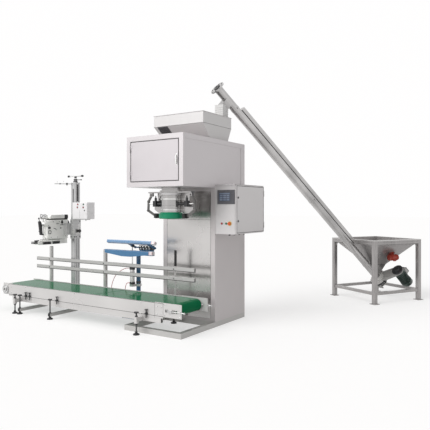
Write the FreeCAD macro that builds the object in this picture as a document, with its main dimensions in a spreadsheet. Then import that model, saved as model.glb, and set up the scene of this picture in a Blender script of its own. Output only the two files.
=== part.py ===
import FreeCAD, Part
import math
import os
import re

import Sketcher

# Bag filling machine with belt conveyor, bag sewing column, bag sealer and screw feeder.
# Millimetres, +Z up, +X along the conveyor towards its tail, +Y to the back of the machine.
# The origin is on the floor under the centre of the filling machine's base frame.

doc = FreeCAD.newDocument("bag_filling_machine")

# Driving dimensions
SIZES = {
    # base frame, column and housing of the filling machine
    "base_length": 1460, "base_width": 860, "base_height": 65, "base_rail": 60, "column_front": -15,
    "column_left": -391, "column_wall": 3, "post_width": 65, "panel_thickness": 3.5, "panel_seam": 1344,
    "panel_margin": 40, "sheet_gap": 1, "housing_front": -686, "housing_low": 1746, "housing_top": 2360,
    "housing_wall": 8, "housing_recess": 5, "recess_front": 39, "recess_back": 97, "frame_width": 59,
    "door_depth": 24, "door_gap": 3, "sheet": 3, "knuckle_radius": 7, "knuckle_length": 40, "pin_radius": 3,
    "running_fit": 0.08, "latch_inset": 35, "latch_length": 100, "latch_radius": 8,
    # top hopper and feed chute
    "hopper_left": -385, "hopper_right": 388, "hopper_front": -218, "hopper_back": 445,
    "hopper_lip_low": 2540, "hopper_rim": 2682, "throat_right": 340, "throat_front": 20, "throat_back": 430,
    "chute_low": 1900, "chute_square": 244,
    # spout, bag clamp and cut-off gate
    "spout_depth": -355, "spout_radius": 118, "spout_low": 1360, "spout_flange": 150, "flange_thickness": 6,
    "yoke_level": 1694, "yoke_thickness": 16, "yoke_reach": 332, "yoke_depth": 80, "band_radius": 140,
    "band_height": 14, "hood_depth": 47, "hood_top_reach": 250, "hood_reach": 300, "hood_high": 1530,
    "hood_middle": 1470, "hood_foot_reach": 225, "hood_low": 1425, "ring_radius": 149, "ring_height": 80,
    "ring_chamfer": 24, "ring_bevel": 6, "clamp_pivot_x": 308, "clamp_pivot_z": 1655, "arm_thickness": 14,
    "arm_width": 28, "cheek_thickness": 8, "side_clearance": 0.5, "clamp_pin_radius": 6,
    "elbow_upper_x": 359, "elbow_upper_z": 1574, "elbow_lower_x": 365, "elbow_lower_z": 1460,
    "arm_end_x": 236, "arm_end_z": 1388, "pad_gap": 1, "pad_depth": 30, "pad_width": 80,
    "pad_shut_low": 1392, "pad_height": 56, "clamp_swing": 13, "clamp_rod_z": 1545, "clamp_rod_radius": 8,
    "clamp_body_out": 268, "clamp_body_in": 218, "clamp_body_width": 56, "clamp_body_height": 74,
    "gate_height": 1830, "gate_radius": 112, "gate_thickness": 6, "gate_shaft_radius": 9,
    "actuator_length": 96, "actuator_width": 62, "load_cell_side": 40, "load_cell_length": 130,
    "load_stud_radius": 10,
    # control cabinet
    "cabinet_width": 286, "cabinet_front": -10, "cabinet_back": 728, "cabinet_low": 1168,
    "cabinet_top": 1782, "cabinet_door_thickness": 17.5, "cabinet_lip": 25, "screen_inset": 35,
    "screen_width": 248, "screen_low": 1540, "screen_height": 175, "screen_thickness": 7,
    "button_level": 1300, "button_radius": 13, "button_stem": 8, "button_travel": 4,
    "red_button_inset": 100, "green_button_inset": 164, "stop_button_inset": 210, "stop_radius": 21,
    # belt conveyor
    "belt_near": -745, "belt_far": -202, "plate_left": -2678, "plate_right": 183, "plate_low": 212,
    "plate_top": 388, "plate_thickness": 4, "rail_start": -2600, "rail_end": 150, "rail_foot": 155,
    "rail_lap": 10, "rail_depth": 40, "bed_start": -2668, "bed_end": 203, "bed_thickness": 3,
    "drum_level": 305, "drum_radius": 71, "drum_length": 512, "belt_clearance": 0.3, "belt_thickness": 3.7,
    "belt_width": 500, "tail_shaft": 15, "head_shaft_length": 552, "tail_shaft_length": 530,
    "head_drum_x": -2755, "tail_drum_x": 290, "drum_shaft": 20, "tail_plate_left": 60,
    "tail_plate_right": 448, "tail_plate_low": 231, "tail_plate_top": 394, "head_plate_left": -2812,
    "head_plate_right": -2600, "bracket_thickness": 8, "slot_left": 216, "slot_right": 389,
    "slot_height": 34, "roller_x": -1230, "roller_radius": 30, "roller_shaft": 8, "roller_level": 199.7,
    "roller_length": 430, "cross_tube": 40, "bearing_radius": 66, "bearing_boss": 34,
    "bearing_thickness": 12, "take_up_radius": 7, "take_up_end": 500, "take_up_depth": 18,
    "guide_length": 20,
    # levelling feet
    "foot_stem": 9, "foot_pad": 38, "foot_pad_height": 26, "foot_knob": 27, "foot_knob_height": 16,
    "foot_top": 272, "foot_reach": 89, "foot_block": 40, "foot_block_low": 136, "foot_block_height": 77,
    "foot_arm_height": 50, "foot_inset": 15, "foot_right_x": -143, "foot_left_x": -2416,
    # guide rails
    "rail_left": -2725, "rail_right": 257, "rail_height": 50, "rail_thickness": 20, "upper_rail_z": 692,
    "lower_rail_z": 572, "post_side": 40, "post_top": 906, "post_left_x": -2457, "post_middle_x": -1320,
    "rail_rod_x": -66, "rail_rod_radius": 11, "rail_rod_top": 950, "rail_rod_y": -178, "rail_back": -197,
    "post_foot": 235,
    # sewing column
    "sew_x": -2000, "sew_y": -95, "sew_side": 90, "sew_wall": 4, "sew_top": 1865, "sew_leg_pitch": 638,
    "sew_leg_near": -840, "sew_leg_far": -35, "sew_leg_side": 40, "sew_slot": 18, "sew_slot_low": 1000,
    "sew_slot_top_margin": 90, "sew_leg_low": 40, "hub_height": 60, "screw_low": 700, "thread_x": -2200,
    "thread_y": -318, "thread_z": 1850, "thread_radius": 6, "hook_radius": 14, "nut_radius": 24,
    "nut_height": 60, "shelf_thickness": 12, "arm_depth": 90, "screw_radius": 10, "screw_handle_z": 1965,
    "handle_span": 300, "carriage_low": 1036, "carriage_top": 1322, "carriage_wall": 8,
    "slide_clearance": 0.3, "box_left": -1925, "box_front": -220, "box_width": 308, "box_depth": 140,
    "box_low": 1330, "box_height": 241, "sew_button_radius": 10, "sew_button_stem": 6, "sew_travel": 3,
    "sew_button_left": -1810, "sew_button_right": -1693, "sew_button_high": 1543, "sew_button_mid": 1500,
    # sewing head
    "head_x": -2200, "head_width": 140, "head_front": -465, "head_back": -120, "head_low": 1035,
    "head_top": 1318, "cover_height": 62, "bed_low": 978, "bed_front": -600, "bed_width": 96,
    "needle_y": -520, "needle_radius": 9, "needle_low": 1062, "needle_top": 1330, "wheel_radius": 58,
    "wheel_width": 34, "wheel_shaft": 9, "wheel_z": 1255, "head_wall": 6, "needle_length": 40, "bed_gap": 5,
    "bed_riser": 90, "finger_length": 80, "finger_height": 14,
    # bag sealer
    "seal_x": -790, "seal_y": -60, "seal_post_radius": 30, "seal_base": 320, "seal_base_thickness": 12,
    "jaw_y": -300, "jaw_left": -1167, "jaw_right": -387, "jaw_top": 930, "jaw_width": 50,
    "jaw_end_height": 46, "jaw_belly": 82, "jaw_cap": 58, "upper_jaw_height": 38, "upper_jaw_width": 44,
    "jaw_gap": 1, "hinge_y": -90, "hinge_z": 955, "jaw_open": 24, "hinge_shaft": 10, "lever_left_x": -822,
    "lever_right_x": -480, "lever_thickness": 20, "lever_height": 26, "cyl_y": -150, "cyl_radius": 25,
    "cyl_low": 455, "cyl_top": 685, "cyl_cap": 30, "rod_radius": 8, "rod_gap": 0.8, "block_left": -731,
    "block_right": -505, "block_height": 60, "bracket_left": -808, "bracket_right": -748, "arm_level": 850,
    "arm_height": 24, "block_depth": 56, "belly_left": -860, "belly_right": -700, "upper_jaw_shift": 22,
    "port_radius": 6, "port_length": 14, "rod_floor": 600, "rod_start": 640, "rod_top": 965.4, "rod_tip": 5,
    "valve_x": -935, "valve_length": 110, "valve_width": 60, "valve_height": 70, "valve_port_z": 50,
    # feeder stand and hopper
    "stand_x": 1506.7, "stand_y": 3248.6, "stand_angle": 59.53, "stand_side": 1000, "stand_height": 982,
    "stand_leg": 60, "rim_height": 70, "stand_rail_z": 140, "stand_rail": 45, "stand_foot": 110,
    "stand_foot_thickness": 10, "anchor_radius": 7, "anchor_reach": 10, "funnel_outlet": 230,
    "funnel_outlet_z": 560, "funnel_wall": 3,
    # inclined screw conveyor
    "tube_angle": 246.85, "tube_tilt": 40.32, "tube_level": 370, "tube_radius": 57, "tube_wall": 3,
    "tube_low": -26, "boot_low": 400, "boot_front": 40, "lug_length": 75, "lug_side": -92, "lug_height": 50,
    "tube_top": 4190, "outlet_at": 3957, "outlet_square": 112, "outlet_drop": 165,
    "duct_square": 116, "duct_low": 2590, "end_flange": 104, "strip_width": 60, "strip_height": 58,
    "strip_low": 800, "strip_top": 3725, "screw_flight_radius": 48, "screw_shaft_radius": 21,
    "screw_pitch": 110, "flight_thickness": 4, "screw_end_gap": 30, "journal_radius": 15, "drive_face": -26,
    "drive_thickness": 84, "drive_radius": 118, "drive_top_radius": 104, "terminal_side": 96,
    "vibrator_length": 150, "vibrator_radius": 48, "vibrator_share": 0.5, "vibrator_x": 60, "motor_up": 190,
    "motor_side": 300, "motor_radius": 88, "motor_length": 302, "cowl_radius": 93, "gear_case_radius": 98,
    "gear_case_length": 105,
    # air hoses
    "hose_radius": 4,
}

table = doc.addObject("Spreadsheet::Sheet", "dim")
for row, (alias, value) in enumerate(SIZES.items(), start=1):
    table.set("A%d" % row, alias)
    table.set("B%d" % row, str(value))
    table.setAlias("B%d" % row, alias)
doc.recompute()


def size(alias):
    """A driving dimension, read from the spreadsheet."""
    return float(table.get(alias))


def cells(text):
    """Write the sheet's name before every alias in an expression."""
    return re.sub(r"[a-z][a-z_]*", lambda m: "dim." + m.group() if m.group() in SIZES else m.group(), str(text))


def bind(item, **expressions):
    """Bind properties of an object to cells."""
    for prop, text in expressions.items():
        item.setExpression(prop, cells(text))


ALONG = {
    "x": FreeCAD.Rotation(FreeCAD.Vector(0, 1, 0), 90),
    "y": FreeCAD.Rotation(FreeCAD.Vector(1, 0, 0), -90),
    "z": FreeCAD.Rotation(),
}


def place(item, x, y, z):
    """Bind an object's position to cells."""
    for axis, text in (("x", x), ("y", y), ("z", z)):
        item.setExpression("Placement.Base." + axis, cells(text))


def box(length, width, height, x="0", y="0", z="0"):
    """A block with its lowest corner at x, y, z."""
    item = doc.addObject("Part::Box", "block")
    bind(item, Length=length, Width=width, Height=height)
    place(item, x, y, z)
    return item


def rod(radius, length, x="0", y="0", z="0", along="z"):
    """A round bar that starts at x, y, z."""
    item = doc.addObject("Part::Cylinder", "bar")
    item.Placement = FreeCAD.Placement(FreeCAD.Vector(), ALONG[along])
    bind(item, Radius=radius, Height=length)
    place(item, x, y, z)
    return item


def cone(radius_low, radius_top, length, x="0", y="0", z="0", along="z"):
    """A tapered round bar that starts at x, y, z."""
    item = doc.addObject("Part::Cone", "taper")
    item.Placement = FreeCAD.Placement(FreeCAD.Vector(), ALONG[along])
    bind(item, Radius1=radius_low, Radius2=radius_top, Height=length)
    place(item, x, y, z)
    return item


def ball(radius, x, y, z):
    """A ball with its centre at x, y, z."""
    item = doc.addObject("Part::Sphere", "ball")
    bind(item, Radius=radius)
    place(item, x, y, z)
    return item


def fuse(*items):
    """Weld solids into one."""
    item = doc.addObject("Part::MultiFuse", "weld")
    item.Shapes = list(items)
    item.Refine = True
    return item


def cut(base, *tools):
    """Take one or more solids away from a base."""
    item = doc.addObject("Part::Cut", "cut")
    item.Base = base
    item.Tool = tools[0] if len(tools) == 1 else fuse(*tools)
    item.Refine = True
    return item


def group(*items):
    """Several separate solids that share one node."""
    item = doc.addObject("Part::Compound", "group")
    item.Links = list(items)
    return item


def raw(shape):
    """A solid that Part's own functions made."""
    item = doc.addObject("Part::Feature", "form")
    item.Shape = shape
    return item


NODES = []


def node(label, item):
    """Give a finished sub-part its name."""
    item.Label = label
    NODES.append(item)
    return item


def vec(x, y, z):
    return FreeCAD.Vector(x, y, z)


def rectangle(x_low, x_high, y_low, y_high, z):
    """A closed rectangular wire at height z."""
    corners = [vec(x_low, y_low, z), vec(x_high, y_low, z), vec(x_high, y_high, z), vec(x_low, y_high, z)]
    return Part.makePolygon(corners + corners[:1])


def loft(*wires):
    """A solid between rectangles, with flat sides."""
    return Part.makeLoft(list(wires), True, True)


def profile(points, direction):
    """A flat outline pushed along a direction."""
    return Part.Face(Part.makePolygon(points + points[:1])).extrude(direction)


def revolved_body(label, points, depth):
    """A PartDesign body turned from an outline of (radius, height) points, its axis at y = depth."""
    body = doc.addObject("PartDesign::Body", label + "_body")
    plane = [o for o in body.Origin.OriginFeatures if o.Role == "XZ_Plane"][0]
    sketch = body.newObject("Sketcher::SketchObject", label + "_outline")
    sketch.AttachmentSupport = [(plane, "")]
    sketch.MapMode = "FlatFace"
    ends = [(size_of(r), size_of(z)) for r, z in points]
    for start, end in zip(ends, ends[1:] + ends[:1]):
        sketch.addGeometry(Part.LineSegment(vec(start[0], start[1], 0), vec(end[0], end[1], 0)))
    for index, (radius, height) in enumerate(points):
        for kind, text in (("DistanceX", radius), ("DistanceY", height)):
            name = "%s%d" % ("r" if kind == "DistanceX" else "z", index)
            number = sketch.addConstraint(Sketcher.Constraint(kind, -1, 1, index, 1, 1.0))
            sketch.renameConstraint(number, name)
            sketch.setExpression("Constraints." + name, cells(text))
        previous = index - 1 if index else len(points) - 1
        sketch.addConstraint(Sketcher.Constraint("Coincident", previous, 2, index, 1))
    turned = body.newObject("PartDesign::Revolution", label + "_turned")
    turned.Profile = sketch
    turned.ReferenceAxis = (sketch, ["V_Axis"])
    turned.Angle = 360
    body.setExpression("Placement.Base.y", cells(depth))
    return body


def size_of(text):
    """The value of a sum of cells and numbers."""
    total = 0.0
    for sign, term in re.findall(r"([+-]?)\s*([a-z_0-9.]+)", text):
        value = size(term) if term in SIZES else float(term)
        total += -value if sign == "-" else value
    return total


def strip(points, width, depth, thickness):
    """A flat bar that follows points in the XZ plane, pushed from y = depth by its thickness."""
    left, right = [], []
    for index, point in enumerate(points):
        before = points[max(index - 1, 0)]
        after = points[min(index + 1, len(points) - 1)]
        first = (point.sub(before) if index else after.sub(point)).normalize()
        last = (after.sub(point) if index < len(points) - 1 else point.sub(before)).normalize()
        middle = first.add(last).normalize()
        normal = vec(-middle.z, 0, middle.x)
        reach = width / 2 / max(middle.dot(first), 0.5)
        left.append(point.add(normal * reach))
        right.append(point.sub(normal * reach))
    outline = [vec(p.x, depth, p.z) for p in left + right[::-1]]
    return profile(outline, vec(0, thickness, 0))


def mirrored(shape):
    """The same shape on the other side of the YZ plane."""
    return shape.mirror(vec(0, 0, 0), vec(1, 0, 0))


# Base frame and column of the filling machine
def base_frame():
    outer = box("base_width", "base_length", "base_height", "-base_width / 2", "-base_length / 2")
    bay = "base_width - 2 * base_rail"
    front = box(bay, "column_front + base_length / 2 - base_rail", "3 * base_height",
                "base_rail - base_width / 2", "base_rail - base_length / 2", "-base_height")
    rear = box(bay, "base_length / 2 - column_front - 2 * base_rail", "3 * base_height",
               "base_rail - base_width / 2", "column_front + base_rail", "-base_height")
    node("base_frame", cut(outer, front, rear))


def column():
    width = "base_width / 2 - column_left"
    depth = "base_length / 2 - column_front"
    tall = "housing_low - base_height"
    panel_left = "column_left + post_width"
    panel_width = width + " - 2 * post_width"
    skin = "panel_thickness + column_wall"
    outer = box(width, depth, tall, "column_left", "column_front", "base_height")
    cavity = box(width + " - 2 * column_wall", depth + " - column_wall - " + skin.replace("+", "-"),
                 "3 * housing_low", "column_left + column_wall", "column_front + " + skin, "0")
    recess = box(panel_width, "2 * panel_thickness", "housing_low - base_height - 2 * panel_margin",
                 panel_left, "column_front - panel_thickness", "base_height + panel_margin")
    node("column_shell", cut(outer, cavity, recess))
    lower = box(panel_width, "panel_thickness", "panel_seam - sheet_gap / 2 - base_height - panel_margin",
                panel_left, "column_front", "base_height + panel_margin")
    upper = box(panel_width, "panel_thickness", "housing_low - panel_margin - panel_seam - sheet_gap / 2",
                panel_left, "column_front", "panel_seam + sheet_gap / 2")
    node("column_panels", group(lower, upper))


# Weigher housing with its hinged door
HOUSING_DEPTH = "base_length / 2 - housing_front"
HOUSING_TALL = "housing_top - housing_low"
DOOR_EDGE = "base_width / 2 - frame_width"
LATCH_LEVEL = "(housing_low + housing_top) / 2"
HINGE_DEPTH = "housing_front - knuckle_radius - side_clearance"
HINGE_LEVELS = ("housing_low + 2.5 * frame_width", "housing_top - 2.5 * frame_width")


def knuckle(x, y, z, side):
    """A hinge knuckle with a leaf on the front face, towards side, which is +1 or -1 along X."""
    barrel = rod("knuckle_radius", "knuckle_length", x, y, z)
    leaf_x = x if side > 0 else x + " - 4 * knuckle_radius"
    leaf = box("4 * knuckle_radius", "sheet", "knuckle_length", leaf_x, "housing_front - sheet", z)
    return [barrel, leaf]


def housing():
    inner_x = "housing_wall - base_width / 2"
    outer = box("base_width", HOUSING_DEPTH, HOUSING_TALL, "-base_width / 2", "housing_front", "housing_low")
    cavity = box("base_width - 2 * housing_wall", HOUSING_DEPTH + " - door_depth - housing_wall",
                 HOUSING_TALL + " - 2 * sheet", inner_x, "housing_front + door_depth", "housing_low + sheet")
    doorway = box("base_width - 2 * frame_width", "3 * door_depth", HOUSING_TALL + " - 2 * frame_width",
                  "frame_width - base_width / 2", "housing_front - door_depth", "housing_low + frame_width")
    side = [box("2 * housing_recess", HOUSING_DEPTH + " - recess_front - recess_back",
                HOUSING_TALL + " - 2 * frame_width",
                x, "housing_front + recess_front", "housing_low + frame_width")
            for x in ("base_width / 2 - housing_recess", "-base_width / 2 - housing_recess")]
    back = box("base_width - 2 * frame_width", "2 * housing_recess", HOUSING_TALL + " - 2 * frame_width",
               "frame_width - base_width / 2", "base_length / 2 - housing_recess", "housing_low + frame_width")
    spout_hole = rod("spout_radius", "10 * sheet", "0", "spout_depth", "housing_low - 5 * sheet")
    roof_hole = box("throat_right - hopper_left - 2 * sheet", "throat_back - throat_front - 2 * sheet",
                    "10 * sheet", "hopper_left + sheet", "throat_front + sheet", "housing_top - 5 * sheet")
    shell = cut(outer, cavity, doorway, side[0], side[1], back, spout_hole, roof_hole)
    fixed = []
    bores = []
    for level in HINGE_LEVELS:
        fixed += knuckle("-(" + DOOR_EDGE + ")", HINGE_DEPTH,
                         level + " - knuckle_length - side_clearance", -1)
        bores.append(rod("pin_radius + running_fit", "3 * knuckle_length", "-(" + DOOR_EDGE + ")",
                         HINGE_DEPTH, level + " - 2 * knuckle_length"))
    node("housing_shell", cut(fuse(shell, *fixed), *bores))

    door_x = "frame_width + door_gap - base_width / 2"
    door_width = "base_width - 2 * frame_width - 2 * door_gap"
    door_z = "housing_low + frame_width + door_gap"
    door_tall = HOUSING_TALL + " - 2 * frame_width - 2 * door_gap"
    pan = box(door_width, "door_depth", door_tall, door_x, "housing_front", door_z)
    hollow = box(door_width + " - 2 * sheet", "door_depth", door_tall + " - 2 * sheet",
                 door_x + " + sheet", "housing_front + sheet", door_z + " + sheet")
    latch_hole = rod("latch_radius + running_fit", "10 * sheet", "%s - latch_inset" % DOOR_EDGE,
                     "housing_front - 5 * sheet", LATCH_LEVEL, "y")
    moving = []
    for level in HINGE_LEVELS:
        moving += knuckle("-(" + DOOR_EDGE + ")", HINGE_DEPTH, level, 1)
        moving.append(rod("pin_radius", "1.6 * knuckle_length", "-(" + DOOR_EDGE + ")",
                          HINGE_DEPTH, level + " - 0.8 * knuckle_length"))
    node("housing_door", fuse(cut(pan, hollow, latch_hole), *moving))

    latch_x = "%s - latch_inset" % DOOR_EDGE
    back_y = "housing_front + door_depth + side_clearance"
    shaft = rod("latch_radius", "door_depth + 2 * latch_radius + side_clearance", latch_x,
                "housing_front - latch_radius", LATCH_LEVEL, "y")
    boss = rod("1.8 * latch_radius", "1.2 * latch_radius", latch_x,
               "housing_front - side_clearance - 1.2 * latch_radius", LATCH_LEVEL, "y")
    lever = box("2.2 * latch_radius", "1.2 * latch_radius", "latch_length", latch_x + " - 1.1 * latch_radius",
                "housing_front - side_clearance - 2 * latch_radius", LATCH_LEVEL + " - latch_length / 2")
    tongue = box("2.5 * latch_radius", "2 * sheet", "latch_inset + 2 * latch_radius",
                 latch_x + " - 1.25 * latch_radius", back_y, LATCH_LEVEL + " - latch_radius")
    node("door_latch", fuse(shaft, boss, lever, tongue))


# Open hopper on the roof and the chute under it
def hopper():
    def skin(inset):
        left = size("hopper_left") + inset
        low = rectangle(left, size("throat_right") - inset, size("throat_front") + inset,
                        size("throat_back") - inset, size("housing_top"))
        rims = [rectangle(left, size("hopper_right") - inset, size("hopper_front") + inset,
                          size("hopper_back") - inset, size(level)) for level in ("hopper_lip_low",
                                                                                  "hopper_rim")]
        return loft(low, rims[0]).fuse(loft(*rims)).removeSplitter()

    node("hopper", raw(skin(0).cut(skin(size("sheet")))))

    # the chute is four flat plates that meet in mitred edges
    def chute_corners(inset):
        half = size("chute_square") / 2 - inset
        left, right = size("hopper_left") + inset, size("throat_right") - inset
        front, back = size("throat_front") + inset, size("throat_back") - inset
        near, far = size("spout_depth") - half, size("spout_depth") + half
        low, top = size("chute_low"), size("housing_top") - size("sheet")
        return ([vec(-half, near, low), vec(half, near, low), vec(half, far, low), vec(-half, far, low)],
                [vec(left, front, top), vec(right, front, top), vec(right, back, top), vec(left, back, top)])

    outer, inner = chute_corners(0), chute_corners(size("sheet"))
    plates = []
    for index in range(4):
        after = (index + 1) % 4
        ends = []
        for level in (0, 1):
            corners = [outer[level][index], outer[level][after], inner[level][after], inner[level][index]]
            ends.append(Part.makePolygon(corners + corners[:1]))
        plates.append(loft(*ends))
    node("feed_chute", raw(Part.makeCompound(plates)))


# Filling spout, its yoke, the rubber ring and the cut-off gate
YOKE_LOW = "yoke_level - yoke_thickness"


def spout():
    tube = revolved_body("spout", [
        ("spout_radius - sheet", "spout_low"), ("spout_radius", "spout_low"),
        ("spout_radius", "yoke_level"), ("band_radius", "yoke_level"),
        ("band_radius", "yoke_level + band_height"), ("spout_radius", "yoke_level + band_height"),
        ("spout_radius", "chute_low - flange_thickness"), ("spout_flange", "chute_low - flange_thickness"),
        ("spout_flange", "chute_low"), ("spout_radius - sheet", "chute_low")], "spout_depth")
    yoke = [box("2 * yoke_reach", "yoke_depth", "yoke_thickness", "-yoke_reach",
                "spout_depth - yoke_depth / 2", YOKE_LOW)]
    for side in ("", "-"):
        for y in ("spout_depth + arm_thickness / 2 + side_clearance",
                  "spout_depth - arm_thickness / 2 - side_clearance - cheek_thickness"):
            yoke.append(box("1.6 * arm_width", "cheek_thickness", "yoke_level - yoke_thickness - clamp_pivot_z"
                            " + 0.6 * arm_width", side + "clamp_pivot_x - 0.8 * arm_width", y,
                            "clamp_pivot_z - 0.6 * arm_width"))
    # a sheet hood hangs from the yoke behind the arms
    half = [(size("hood_top_reach"), size("yoke_level")), (size("hood_top_reach"), size("hood_high")),
            (size("hood_reach"), size("hood_high") - 15), (size("hood_reach"), size("hood_middle")),
            (size("hood_foot_reach"), size("hood_low"))]
    depth = size("spout_depth") + size("hood_depth")
    outline = [vec(x, depth, z) for x, z in half] + [vec(-x, depth, z) for x, z in half[::-1]]
    ring_room = rod("ring_radius + 2 * sheet_gap", "ring_height + 2 * sheet_gap", "0", "spout_depth",
                    "spout_low")
    yoke.append(cut(raw(profile(outline, vec(0, size("sheet"), 0))), ring_room))
    yoke.append(box("2 * hood_top_reach", "hood_depth + sheet - yoke_depth / 2", "yoke_thickness",
                    "-hood_top_reach", "spout_depth + yoke_depth / 2", YOKE_LOW))
    bore = rod("spout_radius - sheet", "yoke_level", "0", "spout_depth", "spout_low - sheet")
    holes = [rod("clamp_pin_radius + running_fit", "yoke_depth", side + "clamp_pivot_x",
                 "spout_depth - yoke_depth / 2", "clamp_pivot_z", "y") for side in ("", "-")]
    shaft_hole = rod("gate_shaft_radius + running_fit", "4 * spout_radius", "-2 * spout_radius",
                     "spout_depth", "gate_height", "x")
    node("spout", cut(fuse(tube, *yoke), bore, shaft_hole, *holes))

    ring = revolved_body("spout_ring", [
        ("spout_radius", "spout_low"), ("ring_radius - ring_bevel", "spout_low"),
        ("ring_radius", "spout_low + ring_bevel"),
        ("ring_radius", "spout_low + ring_height - ring_chamfer"),
        ("ring_radius - ring_chamfer", "spout_low + ring_height"),
        ("spout_radius", "spout_low + ring_height")], "spout_depth")
    node("spout_ring", ring)


def cut_off_gate():
    disc = rod("gate_radius", "gate_thickness", "0", "spout_depth", "gate_height - gate_thickness / 2")
    shaft = rod("gate_shaft_radius", "2 * spout_radius + actuator_length * 0.8", "-spout_radius - 2 * sheet",
                "spout_depth", "gate_height", "x")
    node("cutoff_gate", fuse(disc, shaft))
    start = "spout_radius + 4 * sheet"
    body = box("actuator_length", "actuator_width", "actuator_width", start,
               "spout_depth - actuator_width / 2", "gate_height - actuator_width / 2")
    foot = box("spout_radius / 2", "0.6 * actuator_width", "0.6 * actuator_width",
               start + " - spout_radius / 2",
               "spout_depth - 0.3 * actuator_width", "gate_height - 0.3 * actuator_width")
    tube = rod("spout_radius", "2 * actuator_width", "0", "spout_depth", "gate_height - actuator_width")
    bore = rod("gate_shaft_radius + running_fit", "2 * spout_radius", "0", "spout_depth", "gate_height", "x")
    node("gate_actuator", cut(fuse(body, foot), tube, bore))


def load_cells():
    cells_made = []
    for near in (True, False):
        start = "spout_depth - spout_radius - load_cell_side / 6 - load_cell_length"
        stud_y = "spout_depth - spout_radius - 2 * load_stud_radius"
        if not near:
            start = "spout_depth + spout_radius + load_cell_side / 6"
            stud_y = "spout_depth + spout_radius + 2 * load_stud_radius"
        block = box("load_cell_side", "load_cell_length", "load_cell_side", "-load_cell_side / 2", start,
                    "housing_low + sheet")
        stud = rod("load_stud_radius", "chute_low - flange_thickness - housing_low - sheet - load_cell_side",
                   "0",
                   stud_y, "housing_low + sheet + load_cell_side")
        cells_made.append(fuse(block, stud))
    node("load_cells", group(*cells_made))


# Bag clamp: two bent arms with rubber pads, moved by two compact cylinders
def clamp():
    depth = size("spout_depth") - size("arm_thickness") / 2
    pivot = vec(-size("clamp_pivot_x"), 0, size("clamp_pivot_z"))
    path = [pivot, vec(-size("elbow_upper_x"), 0, size("elbow_upper_z")),
            vec(-size("elbow_lower_x"), 0, size("elbow_lower_z")),
            vec(-size("arm_end_x"), 0, size("arm_end_z"))]
    arm = strip(path, size("arm_width"), depth, size("arm_thickness"))
    boss = Part.makeCylinder(size("arm_width") / 2, size("arm_thickness"), vec(pivot.x, depth, pivot.z),
                             vec(0, 1, 0))
    cheeks = size("arm_thickness") + 2 * size("side_clearance") + 2 * size("cheek_thickness")
    pin = Part.makeCylinder(size("clamp_pin_radius"), cheeks,
                            vec(pivot.x, size("spout_depth") - cheeks / 2, pivot.z), vec(0, 1, 0))
    arm = arm.fuse([boss, pin]).removeSplitter()
    # the pad is laid out shut on the ring and then swung open with its arm
    shut = size("ring_radius") + size("pad_gap")
    pad = Part.makeBox(size("pad_depth") + 10, size("pad_width"), size("pad_height"),
                       vec(-shut - size("pad_depth"), size("spout_depth") - size("pad_width") / 2,
                           size("pad_shut_low")))
    pad = pad.cut(Part.makeCylinder(shut, 3 * size("pad_height"),
                                    vec(0, size("spout_depth"), size("pad_shut_low") - size("pad_height"))))
    pad.rotate(vec(pivot.x, size("spout_depth"), pivot.z), vec(0, 1, 0), size("clamp_swing"))
    pad = pad.cut(arm)
    left = Part.makeCompound([arm, pad])
    node("clamp_arm_left", raw(left))
    node("clamp_arm_right", raw(mirrored(left)))

    blocks = []
    for side in (-1, 1):
        inner, outer = ("clamp_body_in", "clamp_body_out") if side > 0 else ("-clamp_body_out",
                                                                             "-clamp_body_in")
        body = box("clamp_body_out - clamp_body_in", "clamp_body_width", "clamp_body_height", inner,
                   "spout_depth - clamp_body_width / 2", "clamp_rod_z - clamp_body_height / 2")
        port = box("0.4 * clamp_body_width", "0.4 * clamp_body_width", "clamp_body_height",
                   "(clamp_body_in + clamp_body_out) / 2 * %d - 0.2 * clamp_body_width" % side,
                   "spout_depth - 0.2 * clamp_body_width", "clamp_rod_z")
        stay = rod("2 * clamp_rod_radius", "clamp_body_in", "0" if side > 0 else "-clamp_body_in",
                   "spout_depth",
                   "clamp_rod_z", "x")
        tube = rod("spout_radius", "2 * clamp_body_height", "0", "spout_depth",
                   "clamp_rod_z - clamp_body_height")
        bore_start = "clamp_body_in + sheet" if side > 0 else "-clamp_body_out - sheet"
        bore = rod("clamp_rod_radius + running_fit", "clamp_body_out - clamp_body_in", bore_start,
                   "spout_depth",
                   "clamp_rod_z", "x")
        blocks.append(cut(fuse(body, port, stay), tube, bore))
    node("clamp_cylinders", group(*blocks))
    arm_x = ("elbow_upper_x + (elbow_lower_x - elbow_upper_x) * (elbow_upper_z - clamp_rod_z)"
             " / (elbow_upper_z - elbow_lower_z) - arm_width / 2 - rod_gap")
    length = arm_x + " - clamp_body_out + 4 * sheet"
    node("clamp_rod_right", rod("clamp_rod_radius", length, "clamp_body_out - 4 * sheet", "spout_depth",
                                "clamp_rod_z", "x"))
    node("clamp_rod_left", rod("clamp_rod_radius", length, "-(" + arm_x + ")", "spout_depth", "clamp_rod_z",
                               "x"))


# Control cabinet on the column's right side
CABINET_RIGHT = "base_width / 2 + cabinet_width"
CABINET_DEPTH = "cabinet_back - cabinet_front"
CABINET_TALL = "cabinet_top - cabinet_low"
CABINET_HINGE = (CABINET_RIGHT + " + cabinet_door_thickness / 2", "cabinet_back + 2 * pin_radius - sheet")
SCREEN_LEFT = "base_width / 2 + screen_inset"
BUTTONS = (("button_red", "base_width / 2 + red_button_inset", "button_radius"),
           ("button_green", "base_width / 2 + green_button_inset", "button_radius"),
           ("stop_button", "base_width / 2 + stop_button_inset", "stop_radius"))


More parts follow.
